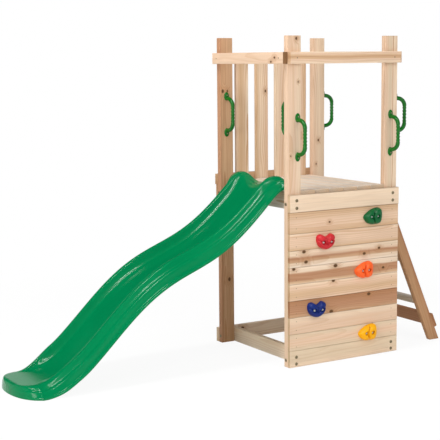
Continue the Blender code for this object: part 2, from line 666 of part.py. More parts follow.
def grip_mesh():
    """A moulded handle: a bent bar with finger waves joined to two screwed feet."""
    curve = bpy.data.curves.new("grip_bar", "CURVE")
    curve.dimensions = "3D"
    curve.bevel_depth = GRIP_BAR_RADIUS
    curve.bevel_resolution = 2
    curve.use_fill_caps = True
    spline = curve.splines.new("POLY")
    path = grip_path()
    spline.points.add(len(path) - 1)
    for index, (point, (out, height)) in enumerate(zip(spline.points, path)):
        point.co = (out, 0, height, 1)
        on_straight = abs(height) < GRIP_STRAIGHT / 2 - GAP
        valley = on_straight and index % 2 == 1
        point.radius = 1 - GRIP_FINGER_DEPTH / GRIP_BAR_RADIUS if valley else 1
    bar_curve = bpy.data.objects.new("grip_bar_curve", curve)
    CUTTERS.objects.link(bar_curve)
    mesh = evaluated_mesh(bar_curve)
    bpy.data.objects.remove(bar_curve, do_unlink=True)
    bm = bmesh.new()
    bm.from_mesh(mesh)
    bmesh.ops.remove_doubles(bm, verts=bm.verts, dist=0.00001)
    bmesh.ops.recalc_face_normals(bm, faces=bm.faces)
    bm.to_mesh(mesh)
    bm.free()
    grip = bpy.data.objects.new("grip_shape", mesh)
    CUTTERS.objects.link(grip)

    helpers = []
    for sign in (-1, 1):
        def build_foot(bm):
            bmesh.ops.create_cube(bm, size=1.0)
            size = (GRIP_FOOT_THICKNESS, GRIP_FOOT_WIDTH, GRIP_FOOT_HEIGHT)
            bmesh.ops.scale(bm, vec=size, verts=bm.verts)
            sides = [edge for edge in bm.edges if abs(edge.verts[0].co.x - edge.verts[1].co.x) > GAP]
            bmesh.ops.bevel(bm, geom=sides, offset=GRIP_FOOT_ROUNDING, segments=2, profile=0.5,
                            affect="EDGES")
            middle = (GRIP_FOOT_THICKNESS / 2, 0, sign * (GRIP_LENGTH - GRIP_FOOT_HEIGHT) / 2)
            bmesh.ops.translate(bm, vec=middle, verts=bm.verts)

        def build_hole(bm):
            place = Matrix.Translation((0, 0, sign * GRIP_SCREW_SPACING / 2)) @ turned_to((1, 0, 0))
            bmesh.ops.create_cone(bm, cap_ends=True, segments=8, radius1=GRIP_HOLE_RADIUS,
                                  radius2=GRIP_HOLE_RADIUS, depth=4 * GRIP_FOOT_THICKNESS, matrix=place)

        for name, build, operation in (("foot", build_foot, "UNION"), ("hole", build_hole, "DIFFERENCE")):
            helper = bpy.data.objects.new(f"grip_{name}_{sign}", mesh_from(build, f"grip_{name}"))
            CUTTERS.objects.link(helper)
            joint = grip.modifiers.new(name, "BOOLEAN")
            joint.operation = operation
            joint.object = helper
            helpers.append(helper)
    shape = evaluated_mesh(grip)
    for used in helpers + [grip]:
        bpy.data.objects.remove(used, do_unlink=True)
    return shape


def add_grips():
    """Six grips on the posts, each turned so that its bar stands out from its post's face."""
    shape = grip_mesh()
    shape.materials.clear()
    to_front = ((0, -1, 0), -math.pi / 2)
    to_back = ((0, 1, 0), math.pi / 2)
    to_ladder = ((1, 0, 0), 0)
    places = (
        (to_front, -POST_CENTRE_X, POST_INNER_Y, INNER_GRIP_HEIGHT),
        (to_back, -POST_CENTRE_X, -POST_INNER_Y, INNER_GRIP_HEIGHT),
        (to_front, SLIDE_SIDE_FRONT_GRIP_OFFSET - POST_CENTRE_X, -POST_OUTER_Y, FRONT_GRIP_HEIGHT),
        (to_ladder, POST_OUTER_X, POST_CENTRE_Y, INNER_GRIP_HEIGHT),
        (to_front, LADDER_SIDE_FRONT_GRIP_OFFSET + POST_CENTRE_X, -POST_OUTER_Y, FRONT_GRIP_HEIGHT),
        (to_ladder, POST_OUTER_X, -POST_CENTRE_Y, INNER_GRIP_HEIGHT),
    )
    for number, ((outwards, turn), x, y, height) in enumerate(places, start=1):
        place = Vector((x, y, height)) + Vector(outwards) * GAP
        add_piece(f"grip_{number}", shape, GRIP_GREEN, place, turn)


def smooth_outline(corners, steps=4):
    """A closed smooth curve through a few points, with each stretch cut into steps."""
    points = []
    count = len(corners)
    for i in range(count):
        before, start, end, after = (Vector(corners[(i + k) % count]) for k in (-1, 0, 1, 2))
        for step in range(steps):
            t = step / steps
            points.append(0.5 * (2 * start + (end - before) * t
                                 + (2 * before - 5 * start + 4 * end - after) * t ** 2
                                 + (3 * start - before - 3 * end + after) * t ** 3))
    return points


def heart_outline():
    """Broad heart with a shallow notch on top, on a unit box."""
    right = [(0.26, 0.46), (0.47, 0.33), (0.47, 0.0), (0.28, -0.36)]
    left = [(-x, z) for x, z in reversed(right)]
    return smooth_outline([(0, 0.27)] + right + [(0, -0.5)] + left)


def wedge_outline():
    """Blunt wedge with its rounded point to the left, on a unit box."""
    return smooth_outline([(-0.5, 0), (-0.18, 0.34), (0.28, 0.5), (0.5, 0.3), (0.48, -0.25), (0.3, -0.5),
                           (-0.18, -0.42)])


def fitted(outline, width, height):
    """Scale and centre an outline so that it fills a width and a height."""
    xs = [x for x, z in outline]
    zs = [z for x, z in outline]
    scale_x = width / (max(xs) - min(xs))
    scale_z = height / (max(zs) - min(zs))
    return [((x - (max(xs) + min(xs)) / 2) * scale_x, (z - (max(zs) + min(zs)) / 2) * scale_z)
            for x, z in outline]


def hold_mesh(name, outline):
    """A domed climbing hold: its outline is raised in rings that draw in towards the front."""
    rings = ((1.0, 0.0), (1.0, 0.30), (0.93, 0.66), (0.74, 0.91), (0.46, 1.0))

    def build(bm):
        back = bm.faces.new([bm.verts.new((x, 0, z)) for x, z in outline])
        cap = back
        for (old_scale, old_rise), (scale, rise) in zip(rings, rings[1:]):
            grown = bmesh.ops.extrude_face_region(bm, geom=[cap])["geom"]
            verts = [item for item in grown if isinstance(item, bmesh.types.BMVert)]
            if cap is not back and cap.is_valid:
                bm.faces.remove(cap)
            cap = next(item for item in grown if isinstance(item, bmesh.types.BMFace))
            bmesh.ops.scale(bm, vec=(scale / old_scale, 1, scale / old_scale), verts=verts)
            bmesh.ops.translate(bm, vec=(0, -HOLD_THICKNESS * (rise - old_rise), 0), verts=verts)

    return mesh_from(build, name)


def add_holds():
    """Five holds, each near the middle of its own wall board, with two counterbored bolt holes."""
    heart = (fitted(heart_outline(), HEART_WIDTH, HEART_HEIGHT), HEART_BOLT_SPACING)
    wedge = (fitted(wedge_outline(), WEDGE_WIDTH, WEDGE_HEIGHT), WEDGE_BOLT_SPACING)
    holds = (
        ("hold_green", 0.177, 2, 0.001, wedge, HOLD_GREEN),
        ("hold_red", -0.136, 3, -0.010, heart, HOLD_RED),
        ("hold_orange", 0.119, 5, -0.009, wedge, HOLD_ORANGE),
        ("hold_blue", -0.193, 7, -0.013, heart, HOLD_BLUE),
        ("hold_yellow", 0.147, 9, -0.002, wedge, HOLD_YELLOW),
    )
    face = -POST_OUTER_Y - 2 * GAP - WALL_BOARD_THICKNESS
    for name, x, board_number, above_middle, (outline, bolt_spacing), finish in holds:
        place = Vector((x, face, wall_board_middle(board_number) + above_middle))
        add_piece(name, hold_mesh(name, outline), finish, place)
        for side in (-bolt_spacing / 2, bolt_spacing / 2):
            mouth = place + Vector((side, -2 * HOLD_THICKNESS, 0))
            through = 2 * HOLD_THICKNESS + 2 * WALL_BOARD_THICKNESS
            counterbore_length = 2 * HOLD_THICKNESS - HOLD_SEAT_HEIGHT
            drill((name,), mouth, (0, 1, 0), counterbore_length, HOLD_COUNTERBORE_RADIUS, 12)
            drill((name, f"wall_board_{board_number}"), mouth, (0, 1, 0), through, BOLT_HOLE_RADIUS)


add_posts()
add_top_rails()
add_deck()
add_back_side()
add_ground_rails()
add_climbing_wall()
add_ladder()
add_slide()
add_bolt_holes()
add_grips()
add_holds()
cut_holes()
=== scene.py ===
# %% [markdown]
# # A wooden play tower with a moulded slide
#
# The real thing is a small garden tower of sawn spruce: four posts, a deck, a plank wall with
# climbing holds, a ladder and a green plastic wave slide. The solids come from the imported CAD
# model and already stand in their right places. This file dresses them: it gives each board its
# own grain, gives the slide its smooth skin, and adds the grips, the holds and the fasteners.

# %% Load the solids
import math
from functools import partial

import bmesh
import bpy
from mathutils import Matrix, Vector


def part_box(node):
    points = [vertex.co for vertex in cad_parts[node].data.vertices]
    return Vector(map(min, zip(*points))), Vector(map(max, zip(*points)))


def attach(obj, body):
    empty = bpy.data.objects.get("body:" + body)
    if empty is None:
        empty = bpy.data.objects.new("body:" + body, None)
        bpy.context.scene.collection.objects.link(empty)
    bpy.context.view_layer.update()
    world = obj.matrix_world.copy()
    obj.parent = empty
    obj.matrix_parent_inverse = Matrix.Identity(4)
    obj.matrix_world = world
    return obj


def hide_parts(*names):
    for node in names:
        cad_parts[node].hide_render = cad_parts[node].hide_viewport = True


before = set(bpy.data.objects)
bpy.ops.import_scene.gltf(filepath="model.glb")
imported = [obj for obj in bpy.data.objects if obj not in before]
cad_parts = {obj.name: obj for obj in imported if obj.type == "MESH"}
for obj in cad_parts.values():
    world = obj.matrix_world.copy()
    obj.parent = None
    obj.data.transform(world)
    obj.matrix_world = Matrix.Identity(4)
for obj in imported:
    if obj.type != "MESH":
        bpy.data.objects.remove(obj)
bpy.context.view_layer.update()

# %% [markdown]
# ## The camera
#
# A photograph of furniture is usually taken from far away with a long lens, so that upright
# posts stay upright and the far side isn't much smaller than the near side. The camera stands
# about six and a half metres from the tower, nearly as high as its top, and looks slightly down.

# %% Camera
CAMERA_PLACE = Vector((-3.2808, -5.3565, 1.612))
CAMERA_TURN = math.radians(-31.072)
CAMERA_DIP = math.radians(7.709)
CAMERA_ROLL = math.radians(-0.515)
CAMERA_LENS = 97.03
SENSOR_WIDTH = 36.0


def add_object(name, data):
    """Make an object of a mesh, a lamp or a camera and put it in the scene."""
    made = bpy.data.objects.new(name, data)
    bpy.context.scene.collection.objects.link(made)
    return made


forward = Vector((-math.sin(CAMERA_TURN) * math.cos(CAMERA_DIP),
                  math.cos(CAMERA_TURN) * math.cos(CAMERA_DIP), -math.sin(CAMERA_DIP)))
level = Vector((math.cos(CAMERA_TURN), math.sin(CAMERA_TURN), 0))
upward = level.cross(forward)
right = math.cos(CAMERA_ROLL) * level + math.sin(CAMERA_ROLL) * upward
top = -math.sin(CAMERA_ROLL) * level + math.cos(CAMERA_ROLL) * upward

camera_data = bpy.data.cameras.new("photo_camera")
camera_data.lens = CAMERA_LENS
camera_data.sensor_width = SENSOR_WIDTH
camera_data.clip_end = 200
camera = add_object("photo_camera", camera_data)
camera.matrix_world = Matrix.Translation(CAMERA_PLACE) @ Matrix((right, top, -forward)).transposed().to_4x4()
bpy.context.scene.camera = camera
bpy.context.scene.view_settings.view_transform = "Standard"
print("camera looks along", tuple(round(v, 3) for v in forward))

# %% [markdown]
# ## Small helpers
#
# A screen colour such as #E6D4B9 is stored for the eye, while Blender mixes light in linear
# values, so every hex colour goes through one function. Node trees are written with one more
# function, which adds any node, sets its settings and fills its sockets with values or links. It
# is called add in each cell, because partial gives it the tree once for all. Materials, groups and
# finished pieces have a helper each, because every one of them starts the same way.

# %% Colour and node helpers
MIX_A = 6
MIX_B = 7
MIX_RESULT = 2


def linear(hex_code):
    """Turn an sRGB hex colour into the linear RGBA that Blender's sockets take."""
    shares = [int(hex_code[i:i + 2], 16) / 255 for i in (1, 3, 5)]
    return (*[s / 12.92 if s <= 0.04045 else ((s + 0.055) / 1.055) ** 2.4 for s in shares], 1.0)


def fill_sockets(node, inputs):
    """Give sockets, by name or in order, a value, another socket or the first output of a node."""
    for key, value in inputs.items() if isinstance(inputs, dict) else enumerate(inputs):
        if isinstance(value, bpy.types.Node):
            value = value.outputs[0]
        if isinstance(value, bpy.types.NodeSocket):
            node.id_data.links.new(value, node.inputs[key])
        else:
            node.inputs[key].default_value = value


def add_node(tree, kind, inputs=None, **settings):
    """Add a node to a tree with its settings, and fill its sockets."""
    made = tree.nodes.new(kind)
    for name, value in settings.items():
        setattr(made, name, value)
    fill_sockets(made, inputs or {})
    return made


def empty_nodes(owner):
    """Clear the nodes of a material or a world, and return the function that adds nodes there."""
    owner.use_nodes = True
    owner.node_tree.nodes.clear()
    return partial(add_node, owner.node_tree)


def new_material(name):
    """An empty material: its add, its shader and the Object coordinates that every pattern reads."""
    material = bpy.data.materials.new(name)
    add = empty_nodes(material)
    shader = add("ShaderNodeBsdfPrincipled")
    add("ShaderNodeOutputMaterial", {"Surface": shader.outputs["BSDF"]})
    return material, add, shader, add("ShaderNodeTexCoord").outputs["Object"]


def finished_mesh(carrier):
    """What an object's modifiers make of it, as a plain mesh; the object itself is removed."""
    bpy.context.view_layer.update()
    graph = bpy.context.evaluated_depsgraph_get()
    mesh = bpy.data.meshes.new_from_object(carrier.evaluated_get(graph), depsgraph=graph)
    bpy.data.objects.remove(carrier)
    return mesh


def mesh_from_tree(name, tree, values, start=None):
    """Run a geometry node tree once and keep what it makes as a plain mesh."""
    carrier = add_object(name, start or bpy.data.meshes.new(name))
    modifier = carrier.modifiers.new(tree.name, "NODES")
    modifier.node_group = tree
    for socket in tree.interface.items_tree:
        if socket.in_out == "INPUT" and socket.name in values:
            modifier[socket.identifier] = values[socket.name]
    return finished_mesh(carrier)


def smooth_up_to(mesh, degrees):
    """Shade a mesh smooth, but keep edges sharp where it turns by more than an angle."""
    mesh.shade_smooth()
    mesh.set_sharp_from_angle(angle=math.radians(degrees))


def new_group(name, kind, inputs, outputs):
    """An empty node group; returns it, the sockets that its inputs come in by, and its add."""
    group = bpy.data.node_groups.new(name, kind)
    for direction, sockets in (("INPUT", inputs), ("OUTPUT", outputs)):
        for title, holds in sockets.items():
            group.interface.new_socket(title, in_out=direction, socket_type=f"NodeSocket{holds}")
    return group, add_node(group, "NodeGroupInput").outputs, partial(add_node, group)


def new_tree(name, sizes):
    """An empty geometry node tree that takes a mesh, some named sizes and a finish."""
    mesh = {"Geometry": "Geometry"}
    return new_group(name, "GeometryNodeTree", {**mesh, **sizes, "Finish": "Material"}, mesh)


def end_tree(tree, geometry, finish):
    """Every tree ends the same way: real geometry instead of instances, with one material."""
    real = add_node(tree, "GeometryNodeRealizeInstances", {"Geometry": geometry})
    painted = add_node(tree, "GeometryNodeSetMaterial", {"Geometry": real, "Material": finish})
    add_node(tree, "NodeGroupOutput", [painted])
    print(tree.name, "tree:", len(tree.nodes), "nodes")


def add_piece(name, mesh, replaced=()):
    """Put a finished mesh in the scene as a piece of the tower."""
    piece = add_object(name, mesh)
    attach(piece, "root")
    if replaced:
        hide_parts(*replaced)
    return piece


# %% [markdown]
# ## Studio
#
# The object stands on a white floor in soft light. The eye should see a plain white background
# and only a faint shadow, so the floor and the world look white to the camera and to
# reflections, while the light that falls on the wood stays at a plain level. Two lamps are odd:
# the large one in front has no mirror image, so it lays no white patch on the plastic, and the
# narrow strip over the edge of the slide shows in reflections alone.

# %% Floor, world and lamps
FLOOR_SIZE = 60.0
FLOOR_WHITE_NEAR = 0.92
FLOOR_WHITE_FAR = 1.0
FLOOR_FADE = (1.3, 3.2)
WORLD_LIGHT = 0.50
TOWER_MIDDLE = Vector((0.52, 0.02, 0.85))


def seen_directly(add):
    """1 for the camera, for reflections and through glass, and 0 where light only falls on it."""
    path = add("ShaderNodeLightPath").outputs
    mirrored = add("ShaderNodeMath", [path["Is Camera Ray"], path["Is Glossy Ray"]], operation="MAXIMUM")
    return add("ShaderNodeMath", [mirrored, path["Is Transmission Ray"]], operation="MAXIMUM")


floor_mesh = bpy.data.meshes.new("studio_floor")
half = FLOOR_SIZE / 2
floor_mesh.from_pydata([(-half, -half, 0), (half, -half, 0), (half, half, 0), (-half, half, 0)], [],
                       [(0, 1, 2, 3)])
floor = add_object("studio_floor", floor_mesh)
floor_paint = bpy.data.materials.new("white studio floor")
add = empty_nodes(floor_paint)
matt = add("ShaderNodeBsdfDiffuse", {"Color": linear("#FFFFFF")})
white = add("ShaderNodeEmission", {"Color": linear("#FFFFFF"), "Strength": 1.0})
spot = add("ShaderNodeTexCoord").outputs["Object"]
aside = add("ShaderNodeVectorMath", [spot, (TOWER_MIDDLE.x, TOWER_MIDDLE.y, 0)], operation="DISTANCE")
fade = add("ShaderNodeMapRange", {"Value": aside.outputs["Value"], "From Min": FLOOR_FADE[0],
                                  "From Max": FLOOR_FADE[1], "To Min": FLOOR_WHITE_NEAR,
                                  "To Max": FLOOR_WHITE_FAR}, interpolation_type="SMOOTHSTEP")
share = add("ShaderNodeMath", [seen_directly(add), fade], operation="MULTIPLY")
mixed = add("ShaderNodeMixShader", [share, matt, white])
add("ShaderNodeOutputMaterial", {"Surface": mixed})
floor_mesh.materials.append(floor_paint)

world = bpy.data.worlds.new("white studio")
bpy.context.scene.world = world
add = empty_nodes(world)
lit = add("ShaderNodeBackground", {"Color": linear("#FFFFFF"), "Strength": WORLD_LIGHT})
shown = add("ShaderNodeBackground", {"Color": linear("#FFFFFF"), "Strength": 1.0})
mixed = add("ShaderNodeMixShader", [seen_directly(add), lit, shown])
add("ShaderNodeOutputWorld", {"Surface": mixed})


def add_lamp(name, place, size, watts, mirrored=True, lights=True):
    """A soft box aimed at the tower; it may have no mirror image, or be nothing but one."""
    data = bpy.data.lights.new(name, "AREA")
    data.shape = "RECTANGLE"
    data.size, data.size_y = size
    data.energy = watts
    lamp = add_object(name, data)
    lamp.location = place
    lamp.visible_glossy = mirrored
    lamp.visible_diffuse = lights
    lamp.rotation_euler = (TOWER_MIDDLE - Vector(place)).to_track_quat("-Z", "Y").to_euler()
    return lamp


# name, place, size in metres, watts
lamps = [add_lamp("key_soft_box", (1.4, -6.0, 4.4), (3.4, 3.0), 128, mirrored=False),
         add_lamp("side_soft_box", (-5.6, -3.0, 2.4), (2.0, 2.0), 130),
         add_lamp("top_strip_box", (-2.2, -0.6, 5.6), (0.6, 2.2), 165),
         add_lamp("edge_strip_box", (-1.9, -2.4, 5.4), (0.3, 1.6), 150, lights=False)]

# %% [markdown]
# ## A dark ceiling
#
# A studio's ceiling is dark, so glossy plastic keeps its colour there. A black card takes its
# part. Only reflections see it, and it comes down behind the object like a curtain that ends
# above the white backdrop.

# %% Ceiling and curtain
CEILING_HEIGHT = 6.5
CEILING_REACH = 9.0
CURTAIN_BEHIND = 5.0
CURTAIN_END = 1.8
card_mesh = bpy.data.meshes.new("studio_dark_ceiling")
across = (-CEILING_REACH, CEILING_REACH)
edges = ((CURTAIN_BEHIND, CURTAIN_END), (CURTAIN_BEHIND, CEILING_HEIGHT), (-CEILING_REACH, CEILING_HEIGHT))
card_mesh.from_pydata([(x, y, z) for y, z in edges for x in across], [], [(0, 1, 3, 2), (2, 3, 5, 4)])
card = add_object("studio_dark_ceiling", card_mesh)
black = bpy.data.materials.new("dark studio ceiling")
add = empty_nodes(black)
add("ShaderNodeOutputMaterial", {"Surface": add("ShaderNodeBsdfDiffuse", {"Color": linear("#000000")})})
card_mesh.materials.append(black)
card.visible_camera = False
card.visible_diffuse = False
card.visible_shadow = False
card.visible_transmission = False
print("studio: a floor,", len(lamps), "lamps and a dark ceiling")

# %% [markdown]
# ## Spruce
#
# Sawn spruce is pale, with darker late wood in each year's ring. A board shows long lines where
# the saw ran along the rings and arches where it cut across them, so the rings are drawn as
# cylinders round the heart of the log, a little outside the board, and the board cuts through
# them. One node group holds this, because every board uses it with another heart and tone. Real
# rings are 2 to 4 mm apart; they are drawn 9 mm apart, or they wouldn't show from here.

# %% The grain of spruce
RING_WIDTH = 0.009
RING_WAVER = 0.050
RING_TAPER = 0.014
FIBRE_LENGTH = 0.25
FIBRE_WIDTH = 0.004
LATE_WOOD = "#DEC5AD"
SAWN_END = "#E2D8CA"
# darker end grain with painted shade on it, used on the sawn ends of the slide-side top rail
END_GRAIN_AND_SHADE = "#9A866C"
SAWN_FACING = (0.80, 0.92)
SLOW_STRETCH = (1.6, 9, 9)
LATE_RELIEF = 0.5

# noise seldom leaves this range, so it is stretched from here to what a pattern needs
NOISE_RANGE = {"From Min": 0.3, "From Max": 0.7}

grain, enter, add = new_group(
    "spruce grain", "ShaderNodeTree",
    {"Place": "Vector", "Ground": "Color", "Heart": "Vector", "Seed": "Float", "Knot push": "Float",
     "Contrast": "Float"}, {"Colour": "Color", "Height": "Float"})

# distance from the heart, with a slow waver along the board and a push round each knot
from_heart = add("ShaderNodeVectorMath", [enter["Place"], enter["Heart"]], operation="SUBTRACT")
across = add("ShaderNodeVectorMath", [from_heart, (0, 1, 1)], operation="MULTIPLY")
radius = add("ShaderNodeVectorMath", [across], operation="LENGTH")
slow = add("ShaderNodeVectorMath", [enter["Place"], SLOW_STRETCH], operation="MULTIPLY")
waver = add("ShaderNodeTexNoise", {"Vector": slow, "W": enter["Seed"], "Scale": 1.0, "Detail": 2.0},
            noise_dimensions="4D")
wavered = add("ShaderNodeMath", [waver, RING_WAVER, radius.outputs["Value"]], operation="MULTIPLY_ADD")
lengthways = add("ShaderNodeSeparateXYZ", [enter["Place"]]).outputs["X"]
tapered = add("ShaderNodeMath", [lengthways, RING_TAPER, wavered], operation="MULTIPLY_ADD")
pushed = add("ShaderNodeMath", [tapered, enter["Knot push"]], operation="ADD")

# rings: each year starts pale and ends in a thin dark line, and some years are darker
years = add("ShaderNodeMath", [pushed, RING_WIDTH], operation="DIVIDE")
season = add("ShaderNodeMath", [years], operation="FRACT")
late = add("ShaderNodeMapRange", {"Value": season, "From Min": 0.35, "From Max": 0.92},
           interpolation_type="SMOOTHSTEP")
decade = add("ShaderNodeTexNoise", {"W": years, "Scale": 0.33, "Detail": 1.0}, noise_dimensions="1D")
strong = add("ShaderNodeMapRange",
             {"Value": decade, "From Min": 0.35, "From Max": 0.68, "To Min": 0.12, "To Max": 1.0})
dark = add("ShaderNodeMath", [late, strong], operation="MULTIPLY")
amount = add("ShaderNodeMath", [dark, enter["Contrast"]], operation="MULTIPLY", use_clamp=True)
ringed = add("ShaderNodeMix", {0: amount, MIX_A: enter["Ground"], MIX_B: linear(LATE_WOOD)},
             data_type="RGBA", blend_type="MULTIPLY")

# fibres: very fine streaks along the board that catch the light
thin = add("ShaderNodeVectorMath", [enter["Place"], (1 / FIBRE_LENGTH, 1 / FIBRE_WIDTH, 1 / FIBRE_WIDTH)],
           operation="MULTIPLY")
fibre = add("ShaderNodeTexNoise", {"Vector": thin, "W": enter["Seed"], "Scale": 1.0, "Detail": 3.0},
            noise_dimensions="4D")
shade = add("ShaderNodeMapRange", {"Value": fibre, **NOISE_RANGE, "To Min": 0.93, "To Max": 1.05})
blotch = add("ShaderNodeTexNoise", {"Vector": slow, "W": enter["Seed"], "Scale": 0.55, "Detail": 1.0},
             noise_dimensions="4D")
cloud = add("ShaderNodeMapRange", {"Value": blotch, **NOISE_RANGE, "To Min": 0.94, "To Max": 1.04})
value = add("ShaderNodeMath", [shade, cloud], operation="MULTIPLY")
toned = add("ShaderNodeHueSaturation", {"Color": ringed.outputs[MIX_RESULT], "Value": value})
height = add("ShaderNodeMath", [dark, LATE_RELIEF, fibre], operation="MULTIPLY_ADD")
add("NodeGroupOutput", {"Colour": toned, "Height": height})
print("spruce grain:", len(grain.nodes), "nodes")

# %% [markdown]
# ## Knots
#
# A knot is a branch that the saw cut through. It is a dark oval with a reddish rim, and the
# rings of the board flow round it. A second small group draws one knot: it gives a core, for
# the dark spot, and a halo, for the rim and for the push on the rings.

# %% A knot
KNOT_STRETCH = (0.72, 1, 0)

knot_tree, enter, add = new_group("knot", "ShaderNodeTree",
                                  {"Place": "Vector", "Centre": "Vector", "Radius": "Float"},
                                  {"Core": "Float", "Halo": "Float"})
offset = add("ShaderNodeVectorMath", [enter["Place"], enter["Centre"]], operation="SUBTRACT")
flat = add("ShaderNodeVectorMath", [offset, KNOT_STRETCH], operation="MULTIPLY")
distance = add("ShaderNodeVectorMath", [flat], operation="LENGTH")
ratio = add("ShaderNodeMath", [distance.outputs["Value"], enter["Radius"]], operation="DIVIDE")
core = add("ShaderNodeMapRange", {"Value": ratio, "From Min": 1.1, "From Max": 0.55},
           interpolation_type="SMOOTHSTEP")
halo = add("ShaderNodeMapRange", {"Value": ratio, "From Min": 4.2, "From Max": 0.6},
           interpolation_type="SMOOTHSTEP")
add("NodeGroupOutput", {"Core": core, "Halo": halo})
print("knot:", len(knot_tree.nodes), "nodes")

# %% [markdown]
# ## One finish per board
#
# Raw spruce is sold in mixed tones: most boards are pale, some are pinkish and some hold brown
# heartwood along one edge. So each board gets its own material with the same grain group. A
# colour ramp across the board's width gives its tones, and the board's own axes turn the
# pattern, so that the grain always runs along its length. Where the boards of the wall meet,
# dirt and shade darken the joint, and a thin dark band along their long edges stands for it.

# %% Board materials
TONES = {
    "pale": "#E9D5BF", "cream": "#E3CBB0", "pink": "#DDBEA2", "tan": "#D0AE8B", "warm": "#C59E7B",
    "brown": "#B68867", "rust": "#AA7B58", "grey": "#DCD0C3", "ash": "#CBBCA9", "sand": "#D5C0A4",
    "shade": "#B98F69",
}
JOINT_SHADE = "#6B4D33"
JOINT_BAND = 0.003
KNOT_CORE = "#5E4026"
KNOT_RIM = "#B07F55"
KNOT_PUSH = 0.014
KNOT_GROWTH = 1.15
KNOT_RIM_SHARE = 0.42
TONE_START = 0.35
TONE_WANDER = 0.30
TONE_STRETCH = (3, 12, 12)
SPRUCE_IOR = 1.45
SPRUCE_GLOSS = 0.25


def add_ramp(add, fac, stops):
    """A colour ramp node with its stops as (position, tone)."""
    ramp = add("ShaderNodeValToRGB", {"Fac": fac})
    ramp.color_ramp.interpolation = "EASE"
    elements = ramp.color_ramp.elements
    while len(elements) > 1:
        elements.remove(elements[-1])
    elements[0].position, elements[0].color = stops[0][0], linear(TONES[stops[0][1]])
    for position, tone in stops[1:]:
        elements.new(position).color = linear(TONES[tone])
    return ramp.outputs["Color"]


def spruce(name, centre, order, width, stops, heart, seed, knots=(), contrast=1.0, ends=SAWN_END,
           joints=0.0, lean=0.0):
    """Sawn spruce: matt, with grain along the first axis and knots at (along, across, radius)."""
    material, add, shader, place = new_material(f"sawn spruce {name}")
    local = add("ShaderNodeMapping", {"Vector": place, "Location": centre, "Rotation": (0, -lean, 0)},
                vector_type="TEXTURE")
    parts = add("ShaderNodeSeparateXYZ", [local]).outputs
    board = add("ShaderNodeCombineXYZ", {i: parts[axis] for i, axis in enumerate(order)})

    stretched = add("ShaderNodeVectorMath", [board, TONE_STRETCH], operation="MULTIPLY")
    wander = add("ShaderNodeTexNoise", {"Vector": stretched, "W": seed, "Scale": 1.0, "Detail": 2.0},
                 noise_dimensions="4D")
    share = add("ShaderNodeMath", [parts[order[1]], 1 / width, TONE_START], operation="MULTIPLY_ADD")
    wandered = add("ShaderNodeMath", [wander, TONE_WANDER, share], operation="MULTIPLY_ADD")
    ground = add_ramp(add, wandered, stops)
    # a dark band along both long edges: dirt in the joint together with painted shade of the joint
    if joints:
        off_middle = add("ShaderNodeMath", [parts[order[1]]], operation="ABSOLUTE")
        near_edge = add("ShaderNodeMapRange",
                        {"Value": off_middle, "From Min": width / 2 - JOINT_BAND,
                         "From Max": width / 2 - JOINT_BAND / 3, "To Max": joints})
        ground = add("ShaderNodeMix", {0: near_edge, MIX_A: ground, MIX_B: linear(JOINT_SHADE)},
                     data_type="RGBA").outputs[MIX_RESULT]

    cores = []
    push = 0.0
    for along, side, size in knots:
        spot = {"Place": board, "Centre": (along, side, 0), "Radius": KNOT_GROWTH * size}
        knot = add("ShaderNodeGroup", spot, node_tree=knot_tree)
        rim = add("ShaderNodeMath", [knot.outputs["Halo"], KNOT_RIM_SHARE], operation="MULTIPLY")
        ground = add("ShaderNodeMix", {0: rim, MIX_A: ground, MIX_B: linear(KNOT_RIM)},
                     data_type="RGBA").outputs[MIX_RESULT]
        push = add("ShaderNodeMath", [knot.outputs["Halo"], KNOT_PUSH, push], operation="MULTIPLY_ADD")
        cores.append(knot.outputs["Core"])

    wood = add("ShaderNodeGroup",
               {"Place": board, "Ground": ground, "Knot push": push, "Heart": heart, "Seed": seed,
                "Contrast": contrast}, node_tree=grain).outputs
    lengthways = Matrix.Rotation(-lean, 3, "Y") @ Vector([float(axis == order[0]) for axis in range(3)])
    normal = add("ShaderNodeTexCoord").outputs["Normal"]
    facing = add("ShaderNodeVectorMath", [normal, lengthways], operation="DOT_PRODUCT")
    sawn = add("ShaderNodeMath", [facing.outputs["Value"]], operation="ABSOLUTE")
    end_share = add("ShaderNodeMapRange",
                    {"Value": sawn, "From Min": SAWN_FACING[0], "From Max": SAWN_FACING[1]})
    colour = add("ShaderNodeMix", {0: end_share, MIX_A: wood["Colour"], MIX_B: linear(ends)},
                 data_type="RGBA", blend_type="MULTIPLY").outputs[MIX_RESULT]
    for core in cores:
        colour = add("ShaderNodeMix", {0: core, MIX_A: colour, MIX_B: linear(KNOT_CORE)},
                     data_type="RGBA").outputs[MIX_RESULT]
    rough = add("ShaderNodeMapRange", {"Value": wood["Height"], "To Min": 0.72, "To Max": 0.58})
    bump = add("ShaderNodeBump", {"Height": wood["Height"], "Strength": 0.25, "Distance": 0.001})
    fill_sockets(shader, {"Base Color": colour, "Roughness": rough, "Normal": bump, "IOR": SPRUCE_IOR,
                          "Specular IOR Level": SPRUCE_GLOSS})
    return material


# %% [markdown]
# ## Boards
#
# A planed board has long edges that are eased to a small round, and ends that are sawn off
# sharp. That is a rule: a rounded rectangle swept along a straight line. A geometry node tree
# makes it from a length, a width, a thickness and an edge radius, and is run once per board.

# %% The tree that makes a board
EDGE_RADIUS = 0.0028
EDGE_STEPS = 4

